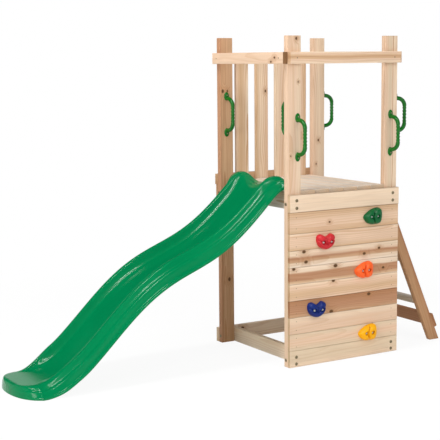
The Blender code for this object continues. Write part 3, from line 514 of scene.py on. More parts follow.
board_tree, enter, add = new_tree("planed board", {
    "Length": "Float", "Width": "Float", "Thickness": "Float", "Edge radius": "Float", "Edge steps": "Int"})
outline = add("GeometryNodeCurvePrimitiveQuadrilateral",
              {"Width": enter["Width"], "Height": enter["Thickness"]})
eased = add("GeometryNodeFilletCurve",
            {"Curve": outline, "Count": enter["Edge steps"], "Radius": enter["Edge radius"]}, mode="POLY")
line_ends = {}
for title, half in (("Start", -0.5), ("End", 0.5)):
    height = add("ShaderNodeMath", [enter["Length"], half], operation="MULTIPLY")
    line_ends[title] = add("ShaderNodeCombineXYZ", {2: height})
line = add("GeometryNodeCurvePrimitiveLine", line_ends)
swept = add("GeometryNodeCurveToMesh", {"Curve": line, "Profile Curve": eased, "Fill Caps": True})
end_tree(board_tree, swept, enter["Finish"])


def board_axes(size):
    """The numbers of a board's axes: along its length, across its width and through its thickness."""
    return sorted(range(3), key=lambda axis: -size[axis])


def board_mesh(name, centre, size, order, finish):
    """Run the tree for one board and turn the result so that its length lies along the right axis."""
    length, width, thickness = (size[axis] for axis in order)
    mesh = mesh_from_tree(name, board_tree, {
        "Length": length, "Width": width, "Thickness": thickness, "Edge radius": EDGE_RADIUS,
        "Edge steps": EDGE_STEPS, "Finish": finish})
    spans = [max(v.co[i] for v in mesh.vertices) - min(v.co[i] for v in mesh.vertices) for i in range(3)]
    swept_order = sorted(range(3), key=lambda axis: -spans[axis])
    turn = Matrix.Identity(3)
    for row in range(3):
        turn[row] = (0, 0, 0)
    for target, source in zip(order, swept_order):
        turn[target][source] = 1.0
    if turn.determinant() < 0:
        turn[order[2]][swept_order[2]] = -1.0
    mesh.transform(Matrix.Translation(centre) @ turn.to_4x4())
    return mesh


# %% [markdown]
# ## Every board of the tower
#
# Each board's place and size come from its solid. The list below says what the eye sees on each
# one: its tones from one edge to the other with their places, how strong its rings are, and its
# knots. Boards that aren't listed get plain tones by turns.

# %% What each board looks like
def board_look(tones, contrast=1.0, knots=(), **more):
    """Read tones such as "pale 0, warm 0.3" into stops across the board, and keep the rest as it is."""
    pairs = [stop.split() for stop in tones.split(", ")]
    stops = [(float(place), tone) for tone, place in pairs]
    return {"stops": stops, "contrast": contrast, "knots": knots, **more}


PLAIN_TONES = ("pale 0, cream 1", "cream 0, pale 0.5, pink 1", "pink 0, cream 0.6, pale 1")
BOARD_LOOKS = {
    "wall_board_1": board_look("cream 0, cream 1", 0.35, joints=0.5),
    "wall_board_2": board_look("tan 0, pink 0.5, tan 1", 0.7, knots=((-0.104, -0.009, 0.005),),
                               joints=0.35),
    "wall_board_3": board_look("tan 0, pink 0.3, pink 0.8, cream 1", 0.6, joints=0.22),
    "wall_board_4": board_look("pale 0, cream 0.22, warm 0.32, brown 0.52, pink 0.66, cream 0.8, cream 1",
                               0.7, knots=((-0.269, 0.035, 0.009), (-0.256, -0.02, 0.009),
                                           (0.229, 0.012, 0.007), (0.128, -0.01, 0.008)), joints=0.25),
    "wall_board_5": board_look("cream 0, tan 0.12, brown 0.24, brown 0.62, cream 0.74, pale 1", 0.7,
                               knots=((-0.064, 0.031, 0.01), (-0.334, 0.037, 0.008), (0.259, -0.01, 0.007)),
                               joints=0.22),
    "wall_board_6": board_look("pink 0, tan 0.4, pink 0.75, cream 1", 0.6, knots=((-0.078, 0.04, 0.008),),
                               joints=0.3),
    "wall_board_7": board_look("warm 0, brown 0.4, rust 1", 0.6,
                               knots=((0.161, 0.031, 0.009), (-0.091, -0.037, 0.01)), joints=0.4),
    "wall_board_8": board_look("pink 0, pink 0.4, cream 1", 0.5, joints=0.22),
    "wall_board_9": board_look("sand 0, pink 0.5, sand 1", 0.5, joints=0.2),
    "wall_board_10": board_look("cream 0, sand 0.5, sand 1", 0.45, joints=0.2),
    "post_slide_back": board_look("brown 0, warm 0.3, warm 1", 0.9,
                                  knots=((0.571, -0.024, 0.008), (0.571, 0.006, 0.006), (-0.5, 0.01, 0.009))),
    "post_slide_front": board_look("pink 0, pink 0.35, cream 1", 0.8,
                                   knots=((0.63, 0.024, 0.0035), (0.85, 0.012, 0.006),
                                          (0.25, -0.022, 0.0035))),
    "post_ladder_front": board_look("pink 0, sand 0.5, cream 0.6, brown 0.64, cream 0.69, cream 1", 0.6),
    "post_ladder_back": board_look("pink 0, cream 0.5, cream 1",
                                   knots=((0.27, -0.002, 0.006), (0.13, -0.017, 0.004))),
    "top_rail_slide": board_look("pink 0, pink 1", 0.6,
                                 knots=((-0.239, -0.019, 0.006), (-0.272, 0.002, 0.006)), ends=END_GRAIN_AND_SHADE),
    "top_rail_front": board_look("cream 0, pink 0.35, tan 0.45, warm 0.6, tan 0.7, pink 0.85, cream 1",
                                 0.8),
    "baluster_1": board_look("pink 0, tan 0.4, cream 1"),
    "baluster_2": board_look("tan 0, cream 0.5, pink 1", knots=((0.145, 0.024, 0.006),)),
    "baluster_3": board_look("cream 0, pink 0.6, cream 1"),
    "baluster_4": board_look("tan 0, pink 0.5, tan 1", knots=((-0.12, -0.005, 0.007),)),
    "ground_rail_back": board_look("pale 0, pale 1", knots=((-0.2, 0.02, 0.008),)),
    "ground_rail_slide": board_look("pale 0, cream 1"),
    "baluster_rail": board_look("warm 0, tan 1"),
    "back_apron": board_look("tan 0, warm 1"),
    "ladder_rail_front": board_look("shade 0, shade 0.5, rust 1"),
    "ladder_rail_back": board_look("warm 0, tan 1"),
    "deck_rail_slide": board_look("grey 0, pink 1"),
    # the cross board is darker than the other boards: partly a brown tone of its own, partly painted shade
    "ladder_cross_board": board_look("brown 0, rust 1", knots=((-0.2, 0, 0.009),)),
}
for number in range(1, 7):
    BOARD_LOOKS[f"deck_board_{number}"] = board_look("grey 0, pale 1", 0.5)
for number in range(1, 4):
    BOARD_LOOKS[f"tread_{number}"] = board_look("ash 0, grey 1", 0.6)
print("boards with a look of their own:", len(BOARD_LOOKS))

# %% Make the boards
NOT_BOARDS = ("slide", "grip", "hold")
LEANING = ("ladder_rail_front", "ladder_rail_back", "ladder_cross_board")
LADDER_LEAN = math.radians(23.9)
LADDER_RAIL_WIDTH = 0.062
CROSS_BOARD_WIDTH = 0.083
HEART_DEPTHS = (-0.045, -0.03, -0.07, -0.055)
HEART_SPREAD = 0.05
HEART_STEP = 2.4
SEED_STEP = 1.7

board_nodes = sorted(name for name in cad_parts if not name.startswith(NOT_BOARDS))
for index, name in enumerate(board_nodes):
    low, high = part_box(name)
    centre = (low + high) / 2
    size = high - low
    look = BOARD_LOOKS.get(name) or board_look(PLAIN_TONES[index % len(PLAIN_TONES)])
    heart = (0, HEART_SPREAD * math.sin(index * HEART_STEP), HEART_DEPTHS[index % len(HEART_DEPTHS)])
    grown = {"heart": heart, "seed": index * SEED_STEP}
    if name in LEANING:
        crosswise = name == "ladder_cross_board"
        order = (1, 2, 0) if crosswise else (2, 0, 1)
        finish = spruce(name, centre, order, CROSS_BOARD_WIDTH if crosswise else LADDER_RAIL_WIDTH,
                        lean=LADDER_LEAN, **grown, **look)
        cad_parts[name].data.materials.clear()
        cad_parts[name].data.materials.append(finish)
        continue
    order = board_axes(size)
    finish = spruce(name, centre, order, size[order[1]], **grown, **look)
    add_piece(f"{name}_planed", board_mesh(name, centre, size, order, finish), (name,))
print("boards:", len(board_nodes), "of which", len(LEANING), "keep their own solid")

# %% [markdown]
# ## The slide
#
# The slide is one thin shell of polyethylene, formed in a hollow mould, so every edge is round
# and the sheet rolls over at both sides. Its shape follows a rule all the way down: the same kind
# of cross section, placed at each distance out from the posts, with a bed that falls in a wave,
# side walls that fade into the foot, and a flared top that sits over the deck. The sections are
# therefore computed and joined here, much more finely than in the solid, and then thickened.

# %% Values of the slide
SLIDE_REACH = 1.425
SLIDE_SHELL = 0.005
SLIDE_FLANGE_END = 0.144
SLIDE_FLANGE_START = 0.089
SLIDE_FLANGE_CORNER = 0.045
SLIDE_BROW_START = 0.050
SLIDE_BROW_RISE = 0.010
SLIDE_BROW_LENGTH = 0.085
SLIDE_WAVE_LENGTH = 0.9255
SLIDE_WAVE_DEPTH = 0.4146
SLIDE_STEEPEST_OUT = 0.033
SLIDE_RUN_OUT_START = 1.048
SLIDE_RUN_OUT_LENGTH = 0.330
SLIDE_LIP_HEIGHT = 0.060
SLIDE_LIP_ROUNDING = 0.022
SLIDE_WALL_HEIGHT = 0.050
SLIDE_WALL_FADE_START = 1.130
SLIDE_WALL_FADE_LENGTH = 0.190
SLIDE_GROUND_SOFTNESS = 0.040
SLIDE_TOP_FLARE_LENGTH = 0.120
SLIDE_TIP_HALF = 0.020
SLIDE_TIP_LENGTH = 0.125
SLIDE_TIP_ROUNDNESS = 2.15
SLIDE_SHOULDER_LENGTH = 0.150
SLIDE_SHOULDER_SHARE = 0.40
SLIDE_JOINT_OUT = 1.326
SLIDE_JOINT_STEP = 0.004
SLIDE_JOINT_WIDTH = 0.005
SLIDE_JOINT_ROWS = 8
SLIDE_FILLET_WIDTH = 0.050
SKIRT_HEIGHTS = (0.097, 0.060, 0.097)
CREST_HALVES = (0.148, 0.164, 0.125)
EDGE_HALVES = (0.235, 0.272, 0.224)
GROUND_GAP = 0.0003

deck_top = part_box("deck_board_1")[1].z
SLIDE_FLANGE_Z = deck_top + GROUND_GAP + SLIDE_SHELL
SLIDE_BROW_Z = SLIDE_FLANGE_Z + SLIDE_BROW_RISE
SLIDE_START_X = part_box("post_slide_front")[0].x
SLIDE_MIDDLE_Y = (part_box("slide")[0].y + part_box("slide")[1].y) / 2
print("slide: from", round(SLIDE_START_X, 4), "in x, brow at", round(SLIDE_BROW_Z, 4), "m")

# half a cross section as (share of the width, share of the height) in the run, at the top, at the foot
BED = (((0, 0), (0, 0), (0, 0)), ((0.55, 0), (0.55, 0.25), (0.55, 0)), ((1, 0), (1, 0.72), (1, 0)))
INNER_WALL = (((0.10, 0.004), (0.10, 0.78), (0.10, 0)), ((0.22, 0.05), (0.22, 0.82), (0.22, 0)),
              ((0.40, 0.22), (0.40, 0.88), (0.40, 0)), ((0.60, 0.55), (0.60, 0.94), (0.60, 0)),
              ((0.76, 0.87), (0.76, 0.97), (0.76, 0)), ((0.84, 0.97), (0.84, 0.985), (0.84, 0)),
              ((1, 1), (1, 1), (1, 1)))
FLANK = (((0.12, 0.005), (0.21, 0.01), (0.21, 0.02)), ((0.19, 0.03), (0.30, 0.04), (0.30, 0.07)),
         ((0.25, 0.12), (0.42, 0.11), (0.44, 0.16)), ((0.38, 0.31), (0.60, 0.24), (0.58, 0.32)),
         ((0.46, 0.36), (0.68, 0.28), (0.66, 0.37)), ((0.58, 0.395), (0.78, 0.31), (0.74, 0.40)),
         ((0.65, 0.48), (0.84, 0.38), (0.79, 0.48)), ((0.80, 0.79), (0.975, 0.62), (0.93, 0.78)),
         ((0.86, 0.84), (0.99, 0.70), (0.965, 0.83)), ((0.97, 0.87), (1, 0.78), (0.995, 0.88)),
         ((1, 1), (1, 1), (1, 1)))


# %% The fall of the wave
def ease(value):
    """A smooth step from 0 to 1."""
    value = min(max(value, 0.0), 1.0)
    return value * value * (3 - 2 * value)


def quarter_round(value):
    """A quarter circle from 0 to 1, steep at its start."""
    value = min(max(value, 0.0), 1.0)
    return math.sqrt(1 - (1 - value) ** 2)


def steepness(out):
    """Relative slope of the bed: a wave between a level brow and a level lip."""
    wave = 1 + SLIDE_WAVE_DEPTH * math.cos(2 * math.pi * (out - SLIDE_STEEPEST_OUT) / SLIDE_WAVE_LENGTH)
    brow = ease((out + SLIDE_BROW_START) / SLIDE_BROW_LENGTH)
    return wave * brow * (1 - ease((out - SLIDE_RUN_OUT_START) / SLIDE_RUN_OUT_LENGTH))


def wave_fall(out, steps=200):
    """The wave's fall from the brow, before it is scaled to the real drop."""
    step = (out + SLIDE_BROW_START) / steps
    return sum(steepness((i + 0.5) * step - SLIDE_BROW_START) for i in range(steps)) * step


WHOLE_FALL = wave_fall(SLIDE_REACH)


# %% Heights and widths along the slide
def end_round(out):
    """How far the flange at the top has risen to the brow, from 0 to 1."""
    return quarter_round((out + SLIDE_FLANGE_START) / (SLIDE_FLANGE_START - SLIDE_BROW_START))


def foot_share(out):
    """0 along the run and 1 on the foot, with a smooth change between them."""
    return ease((out - SLIDE_WALL_FADE_START) / SLIDE_WALL_FADE_LENGTH)


def blended(out, values):
    """Blend a value for the run with those for the flared top and for the foot."""
    run, at_top, at_foot = values
    top_share = 1 - ease(out / SLIDE_TOP_FLARE_LENGTH + 0.5)
    return run + (at_top - run) * top_share + (at_foot - run) * foot_share(out)


def bed_height(out):
    """Height of the bed: the brow, then the wave down to the lip, which rounds off at its end."""
    if out < -SLIDE_BROW_START:
        return SLIDE_FLANGE_Z + SLIDE_BROW_RISE * end_round(out)
    drop = (SLIDE_BROW_Z - SLIDE_LIP_HEIGHT) * wave_fall(out) / WHOLE_FALL
    lip = SLIDE_LIP_ROUNDING * (1 - quarter_round((SLIDE_REACH - out) / SLIDE_LIP_ROUNDING))
    return SLIDE_BROW_Z - drop - lip


def wall_height(out):
    """Height of the side walls over the bed; they start at the brow and fade into the foot."""
    return SLIDE_WALL_HEIGHT * end_round(out) * (1 - foot_share(out))


def skirt_edge(out):
    """Height of the skirt's lower edge: over the deck, along the run, and on the ground."""
    hanging = bed_height(out) + wall_height(out) - blended(out, SKIRT_HEIGHTS)
    if out < -SLIDE_BROW_START:
        return max(hanging, SLIDE_FLANGE_Z)
    above_ground = (hanging + math.sqrt(hanging ** 2 + SLIDE_GROUND_SOFTNESS ** 2)) / 2
    return GROUND_GAP + above_ground * (1 - foot_share(out) ** 4)


def half_widths(out):
    """Half widths at the wall's crest and at the skirt's edge."""
    bead = SLIDE_JOINT_STEP * math.exp(-((out - SLIDE_JOINT_OUT) / SLIDE_JOINT_WIDTH) ** 2)
    edge = blended(out, EDGE_HALVES) + bead
    crest = blended(out, CREST_HALVES)
    shoulder = SLIDE_SHOULDER_SHARE * ease(1 - (SLIDE_REACH - out) / SLIDE_SHOULDER_LENGTH)
    corner = min(max(1 - (SLIDE_REACH - out) / SLIDE_TIP_LENGTH, 0), 1)
    narrow = (1 - corner ** 2) ** (1 / SLIDE_TIP_ROUNDNESS)
    edge -= SLIDE_FLANGE_CORNER * ease((-out - SLIDE_FLANGE_START) / (SLIDE_FLANGE_END - SLIDE_FLANGE_START))
    squeeze = max(narrow, SLIDE_TIP_HALF / EDGE_HALVES[2])
    return (crest + (edge - crest) * shoulder) * squeeze, edge * squeeze


# %% One cross section, and a smooth curve through its points
def section(out):
    """Points of half a cross section, from the middle of the bed to the skirt's lower edge."""
    crest_half, edge_half = half_widths(out)
    bed = bed_height(out)
    wall = wall_height(out)
    bed_half = crest_half - SLIDE_FILLET_WIDTH * crest_half / CREST_HALVES[0]
    stretches = ((BED, 0, bed_half, bed, wall), (INNER_WALL, bed_half, crest_half, bed, wall),
                 (FLANK, crest_half, edge_half, bed + wall, skirt_edge(out) - bed - wall))
    points = []
    for shares, start, end, base, rise in stretches:
        for share in shares:
            across, up = (blended(out, values) for values in zip(*share))
            points.append(Vector((start + (end - start) * across, base + rise * up)))
    return points


def curve_between(before, start, end, after, steps):
    """Points of a smooth curve from start almost to end, led by the points before and after."""
    bend = 2 * before - 5 * start + 4 * end - after
    twist = 3 * start - before - 3 * end + after
    return [0.5 * (2 * start + (end - before) * t + bend * t ** 2 + twist * t ** 3)
            for t in (step / steps for step in range(steps))]


def smoothed(points, steps):
    """A smooth curve through the points, with each stretch cut into steps."""
    mirrored = Vector((-points[1].x, points[1].y))
    padded = [mirrored] + points + [2 * points[-1] - points[-2]]
    curve = []
    for four in zip(padded, padded[1:], padded[2:], padded[3:]):
        curve += curve_between(*four, steps)
    return curve + [points[-1]]


# %% Join the sections into a shell
SLIDE_STATIONS = 130
SECTION_STEPS = 3
TIP_ANGLES = range(0, 91, 5)


def stations():
    """Distances out at which a section is drawn: close together where the shape turns fast."""
    places = [-SLIDE_FLANGE_END, -(SLIDE_FLANGE_END + SLIDE_FLANGE_START) / 2]
    end_length = SLIDE_FLANGE_START - SLIDE_BROW_START
    places += [end_length * (1 - math.cos(math.radians(angle))) - SLIDE_FLANGE_START for angle in TIP_ANGLES]
    run_end = SLIDE_JOINT_OUT - 2 * SLIDE_JOINT_WIDTH
    step = (run_end + SLIDE_BROW_START) / SLIDE_STATIONS
    places += [step * number - SLIDE_BROW_START for number in range(1, SLIDE_STATIONS + 1)]
    places += [run_end + SLIDE_JOINT_WIDTH * number / 2 for number in range(1, SLIDE_JOINT_ROWS + 1)]
    for angle in TIP_ANGLES:
        place = SLIDE_REACH - SLIDE_TIP_LENGTH * (1 - math.sin(math.radians(angle)))
        if place > places[-1] + SLIDE_JOINT_WIDTH / 20:
            places.append(place)
    return places


def fill_strip(bm, row, following):
    """Faces between two rows of points."""
    for i in range(len(row) - 1):
        bm.faces.new((row[i], row[i + 1], following[i + 1], following[i]))


bm = bmesh.new()
rows = []
for out in stations():
    rows.append([bm.verts.new((SLIDE_START_X - out, point.x, point.y))
                 for point in smoothed(section(out), SECTION_STEPS)])
for row, following in zip(rows, rows[1:]):
    fill_strip(bm, row, following)

# the front of the foot: the last section goes down to the ground in rows that narrow with it
crest = SECTION_STEPS * (len(BED) + len(INNER_WALL) + 1)
above = rows[-1][:crest + 1]
for corner in rows[-1][crest + 1:]:
    narrowing = corner.co.y / above[-1].co.y
    below = [bm.verts.new((v.co.x, v.co.y * narrowing, corner.co.z)) for v in above[:-1]] + [corner]
    fill_strip(bm, above, below)
    above = below

slide_mesh = bpy.data.meshes.new("slide_skin")
bm.to_mesh(slide_mesh)
bm.free()
slide_carrier = add_object("slide_carrier", slide_mesh)
mirror = slide_carrier.modifiers.new("other half", "MIRROR")
mirror.use_axis = (False, True, False)
mirror.merge_threshold = 0.0001
shell = slide_carrier.modifiers.new("shell", "SOLIDIFY")
shell.thickness = SLIDE_SHELL
shell.offset = -1
slide_mesh = finished_mesh(slide_carrier)
slide_mesh.transform(Matrix.Translation((0, SLIDE_MIDDLE_Y, 0)))
smooth_up_to(slide_mesh, 50)

# %% [markdown]
# ## Polyethylene
#
# The slide is polyethylene, a waxy plastic with an index of refraction near 1.5. Fresh from the
# mould it is glossy, with a very faint unevenness that breaks up long reflections. Use leaves
# some places a little duller, so the roughness varies slowly. The specular level is far below
# the 0.5 of real plastic, because the white floor would lay a pale film over the green.

# %% Glossy plastic
PLASTIC_IOR = 1.5


def moulded_plastic(name, hex_code, roughness, speck, bump_height, gloss):
    """Moulded plastic: one colour with a slow change in tone, and an uneven surface of some gloss."""
    material, add, shader, place = new_material(name)
    slow = add("ShaderNodeTexNoise", {"Vector": place, "Scale": 3.0, "Detail": 2.0})
    tone = add("ShaderNodeMapRange", {"Value": slow, **NOISE_RANGE, "To Min": 0.94, "To Max": 1.04})
    toned = add("ShaderNodeHueSaturation", {"Color": linear(hex_code), "Value": tone})
    rough = add("ShaderNodeMapRange",
                {"Value": slow, **NOISE_RANGE, "To Min": roughness * 0.85, "To Max": roughness * 1.2})
    skin = add("ShaderNodeTexNoise", {"Vector": place, "Scale": 1 / speck, "Detail": 2.0})
    bump = add("ShaderNodeBump", {"Height": skin, "Strength": 0.5, "Distance": bump_height})
    fill_sockets(shader, {"Base Color": toned, "Roughness": rough, "Normal": bump, "IOR": PLASTIC_IOR,
                          "Specular IOR Level": gloss})
    return material


# colour, roughness, metres from speck to speck, metres of bump, specular level
slide_plastic = moulded_plastic("glossy green polyethylene", "#007847", 0.16, 0.030, 0.00002, 0.14)
slide_mesh.materials.clear()
slide_mesh.materials.append(slide_plastic)
add_piece("slide_skin", slide_mesh, ("slide",))
print("slide:", len(slide_mesh.polygons), "faces")

# %% [markdown]
# ## Grips
#
# A grip is a bent bar of polypropylene with shallow waves for the fingers, and a foot at each end
# with one screw. Its surface is a little duller than the slide's. The bar follows a path, so a
# node tree sweeps a circle along it, changes the radius by a wave on the straight part, and joins
# two domed feet to it. The tree runs once and the mesh is turned to each post.

# %% The tree that makes a grip
GRIP_LENGTH = 0.250
GRIP_REACH = 0.077
GRIP_BAR_RADIUS = 0.0112
GRIP_ARM_SPACING = 0.178
GRIP_STRAIGHT = 0.090
GRIP_FOOT = (0.009, 0.032, 0.048)
GRIP_WAVES = 5
GRIP_WAVE_DEPTH = 0.24
GRIP_SCREW_SPACING = 0.214
GRIP_SMOOTHNESS = 96
ARM_SQUARENESS = 0.8

grip_tree, enter, add = new_tree("moulded grip", {
    "Bar radius": "Float", "Straight": "Float", "Waves": "Float", "Wave depth": "Float",
    "Foot size": "Vector", "Foot offset": "Float"})
bar_path = add("GeometryNodeMeshToCurve", {"Mesh": enter["Geometry"]})
fine = add("GeometryNodeResampleCurve", {"Curve": bar_path, "Count": GRIP_SMOOTHNESS})
where = add("GeometryNodeInputPosition")
along = add("ShaderNodeSeparateXYZ", [where]).outputs["Z"]
share = add("ShaderNodeMath", [along, enter["Straight"]], operation="DIVIDE")
turns = add("ShaderNodeMath", [share, enter["Waves"]], operation="MULTIPLY")
angle = add("ShaderNodeMath", [turns, math.tau], operation="MULTIPLY")
wave = add("ShaderNodeMath", [angle], operation="COSINE")
dip = add("ShaderNodeMapRange",
          {"Value": wave, "From Min": -1.0, "From Max": 1.0, "To Min": 1.0, "To Max": 0.0})
away = add("ShaderNodeMath", [share], operation="ABSOLUTE")
inside = add("ShaderNodeMapRange",
             {"Value": away, "From Min": 0.45, "From Max": 0.55, "To Min": 1.0, "To Max": 0.0})
depth = add("ShaderNodeMath", [dip, inside], operation="MULTIPLY")
loss = add("ShaderNodeMath", [depth, enter["Wave depth"]], operation="MULTIPLY")
scale = add("ShaderNodeMath", [1.0, loss], operation="SUBTRACT")
ring = add("GeometryNodeCurvePrimitiveCircle", {"Resolution": 24, "Radius": enter["Bar radius"]})
bar = add("GeometryNodeCurveToMesh",
          {"Curve": fine, "Profile Curve": ring, "Scale": scale, "Fill Caps": True})

dome = add("GeometryNodeMeshUVSphere", {"Segments": 32, "Rings": 20, "Radius": 1.0})
sized = add("GeometryNodeTransform", {"Geometry": dome, "Scale": enter["Foot size"]})
flat_back = add("ShaderNodeVectorMath", [where, (0, -1, -1)], operation="MAXIMUM")
foot = add("GeometryNodeSetPosition", {"Geometry": sized, "Position": flat_back})
pieces = [bar]
for side in (-1.0, 1.0):
    offset = add("ShaderNodeMath", [enter["Foot offset"], side], operation="MULTIPLY")
    lifted = add("ShaderNodeCombineXYZ", {2: offset})
    pieces.append(add("GeometryNodeTransform", {"Geometry": foot, "Translation": lifted}))
joined = add("GeometryNodeMeshBoolean", operation="UNION", solver="EXACT")
for piece in pieces:
    grip_tree.links.new(piece.outputs[0], joined.inputs["Mesh 2"])
end_tree(grip_tree, joined, enter["Finish"])


def grip_path(steps=24):
    """Centre line of the bar, from the lower foot to the upper one, as a chain of edges."""
    reach = GRIP_REACH - GRIP_BAR_RADIUS
    half_straight = GRIP_STRAIGHT / 2
    bend = GRIP_ARM_SPACING / 2 - half_straight
    base = GRIP_FOOT[0] / 2
    upper = []
    for number in range(steps + 1):
        turn = math.pi / 2 * number / steps
        share = max(math.cos(turn), 0.0) ** ARM_SQUARENESS
        upper.append(Vector((base + (reach - base) * share, 0, half_straight + bend * math.sin(turn))))
    return [Vector((p.x, 0, -p.z)) for p in reversed(upper)] + upper


# %% Turn a grip to each post
grip_plastic = moulded_plastic("dark green polypropylene", "#086214", 0.20, 0.004, 0.00005, 0.30)
path = grip_path()
chain = bpy.data.meshes.new("grip_path")
chain.from_pydata(path, [(i, i + 1) for i in range(len(path) - 1)], [])
grip_mesh = mesh_from_tree("grip", grip_tree, {
    "Bar radius": GRIP_BAR_RADIUS, "Straight": GRIP_STRAIGHT, "Waves": float(GRIP_WAVES),
    "Wave depth": GRIP_WAVE_DEPTH, "Foot size": (GRIP_FOOT[0], GRIP_FOOT[1] / 2, GRIP_FOOT[2] / 2),
    "Foot offset": (GRIP_LENGTH - GRIP_FOOT[2]) / 2, "Finish": grip_plastic}, chain)
smooth_up_to(grip_mesh, 60)

# which way each grip stands off its post
GRIP_DIRECTIONS = {1: (0, -1), 2: (0, 1), 3: (0, -1), 4: (1, 0), 5: (0, -1), 6: (1, 0)}
grip_seats = {}
for number, (dx, dy) in GRIP_DIRECTIONS.items():
    low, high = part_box(f"grip_{number}")
    seat = (low + high) / 2
    if dx:
        seat.x = low.x if dx > 0 else high.x
    else:
        seat.y = low.y if dy > 0 else high.y
    copy = grip_mesh.copy()
    copy.transform(Matrix.Translation(seat) @ Matrix.Rotation(math.atan2(dy, dx), 4, "Z"))
    add_piece(f"grip_{number}_moulded", copy, (f"grip_{number}",))
    grip_seats[number] = (seat, Vector((dx, dy, 0)))
print("grips:", len(grip_seats), "of", len(grip_mesh.polygons), "faces")

# %% [markdown]
# ## Climbing holds
#
# The holds are cast from resin with sand in it, which gives a grippy, matt surface. Two are
# hearts with a crease between their lobes. Three are blunt wedges with a curved groove between
# the point and the body. Both are domes on an outline, so each is built as rings that shrink
# towards the middle, and one function gives the height of every point on them.

# %% Outlines and heights of the holds
HOLD_THICKNESS = 0.036
HOLD_SEAT = 0.012
HOLD_RINGS = 30
OUTLINE_STEPS = 12
HEART = {"size": (0.114, 0.083), "bolts": 0.051,
         "outline": ((0, 0.31), (0.28, 0.5), (0.48, 0.37), (0.49, 0.03), (0.33, -0.32),
                     (0, -0.5), (-0.33, -0.32), (-0.49, 0.03), (-0.48, 0.37), (-0.28, 0.5))}
WEDGE = {"size": (0.117, 0.090), "bolts": 0.042,
         "outline": ((-0.5, 0), (-0.22, 0.31), (0.1, 0.47), (0.4, 0.47), (0.5, 0.25), (0.49, -0.15),
                     (0.38, -0.44), (0, -0.5), (-0.32, -0.36))}
PLATEAU_POWER = 5.0
CREASE_DEPTH = 0.013
CREASE_WIDTH = 0.008
CREASE_END = -0.030
CREASE_FADE = 0.05
RING_CROWDING = 1.6
SMILE_LOW = -0.012
SMILE_RISE = 0.45
SMILE_DEPTH = 0.008
SMILE_WIDTH = 0.0045
GROOVE_DEPTH = 0.015
GROOVE_WIDTH = 0.0055
GROOVE_CENTRE = Vector((0.045, -0.004))
GROOVE_RADIUS = 0.052
SEAT_RADIUS = 0.0098
SEAT_SLOPE = 0.0040


def closed_curve(corners, steps):
    """A closed smooth curve through a few corners."""
    count = len(corners)
    curve = []
    for i in range(count):
        curve += curve_between(*(Vector(corners[(i + k) % count]) for k in (-1, 0, 1, 2)), steps)
    return curve


def fitted(outline, size):
    """Scale and centre an outline so that it fills its size."""
    low = Vector((min(p.x for p in outline), min(p.y for p in outline)))
    high = Vector((max(p.x for p in outline), max(p.y for p in outline)))
    return [Vector(((p.x - (low.x + high.x) / 2) * size[0] / (high.x - low.x),
                    (p.y - (low.y + high.y) / 2) * size[1] / (high.y - low.y))) for p in outline]


def hold_height(kind, place, share):
    """How far a point stands out from the wall; share is 1 at the outline and 0 in the middle."""
    rise = HOLD_THICKNESS * math.sqrt(max(1 - share ** PLATEAU_POWER, 0.0))
    if kind is HEART:
        notch = ease((place.y - CREASE_END) / CREASE_FADE)
        rise -= CREASE_DEPTH * notch * math.exp(-(place.x / CREASE_WIDTH) ** 2)
        off_smile = place.y - SMILE_LOW - SMILE_RISE * abs(place.x)
        rise -= SMILE_DEPTH * math.exp(-(off_smile / SMILE_WIDTH) ** 2)
    else:
        off_groove = (place - GROOVE_CENTRE).length - GROOVE_RADIUS
        rise -= GROOVE_DEPTH * math.exp(-(off_groove / GROOVE_WIDTH) ** 2)
    for side in (-1, 1):
        reach = (place - Vector((side * kind["bolts"] / 2, 0))).length
        dish = 1 - ease((reach - SEAT_RADIUS) / SEAT_SLOPE + 0.5)
        rise = rise + (HOLD_SEAT - rise) * dish if rise > HOLD_SEAT else rise
    return max(rise, 0.0)


def hold_mesh(name, kind, finish):
    """Rings from the outline to the middle, raised by the height rule, with a flat back."""
    outline = fitted(closed_curve(kind["outline"], OUTLINE_STEPS), kind["size"])
    bm = bmesh.new()
    back = [bm.verts.new((p.x, 0, p.y)) for p in outline]
    rings = [back]
    for number in range(1, HOLD_RINGS):
        share = 1 - (number / HOLD_RINGS) ** RING_CROWDING
        rings.append([bm.verts.new((p.x * share, -hold_height(kind, p * share, share), p.y * share))
                      for p in outline])
    peak = bm.verts.new((0, -hold_height(kind, Vector((0, 0)), 0), 0))
    count = len(outline)
    for ring, following in zip(rings, rings[1:]):
        for i in range(count):
            bm.faces.new((ring[i], ring[(i + 1) % count], following[(i + 1) % count], following[i]))
    for i in range(count):
        bm.faces.new((rings[-1][i], rings[-1][(i + 1) % count], peak))
    bm.faces.new(back)
    bmesh.ops.recalc_face_normals(bm, faces=bm.faces)
    mesh = bpy.data.meshes.new(name)
    bm.to_mesh(mesh)
    bm.free()
    mesh.materials.append(finish)
    smooth_up_to(mesh, 60)
    return mesh


# %% Five holds on the wall
HOLDS = {"hold_green": (WEDGE, "#0A5C2F"), "hold_red": (HEART, "#BE2830"),
         "hold_orange": (WEDGE, "#EE6026"), "hold_blue": (HEART, "#0B2369"),
         "hold_yellow": (WEDGE, "#E9A606")}
hold_seats = []
for name, (kind, hex_code) in HOLDS.items():
    low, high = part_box(name)
    seat = Vector(((low.x + high.x) / 2, high.y, (low.z + high.z) / 2))
    resin = moulded_plastic(f"sanded resin {name}", hex_code, 0.40, 0.0025, 0.0004, 0.2)
    mesh = hold_mesh(name, kind, resin)
    mesh.transform(Matrix.Translation(seat))
    add_piece(f"{name}_cast", mesh, (name,))
    hold_seats += [seat + Vector((side * kind["bolts"] / 2, -HOLD_SEAT, 0)) for side in (-1, 1)]
print("holds:", len(HOLDS), "of", len(mesh.polygons), "faces")

# %% [markdown]
# ## Fasteners
#
# Bolts, screws and nails are all a small round head on a face, often with a socket for a key.
# They repeat, so one node tree makes a head from a few sizes and sets a copy on every point
# that it is given, turned to the face that the point lies on.

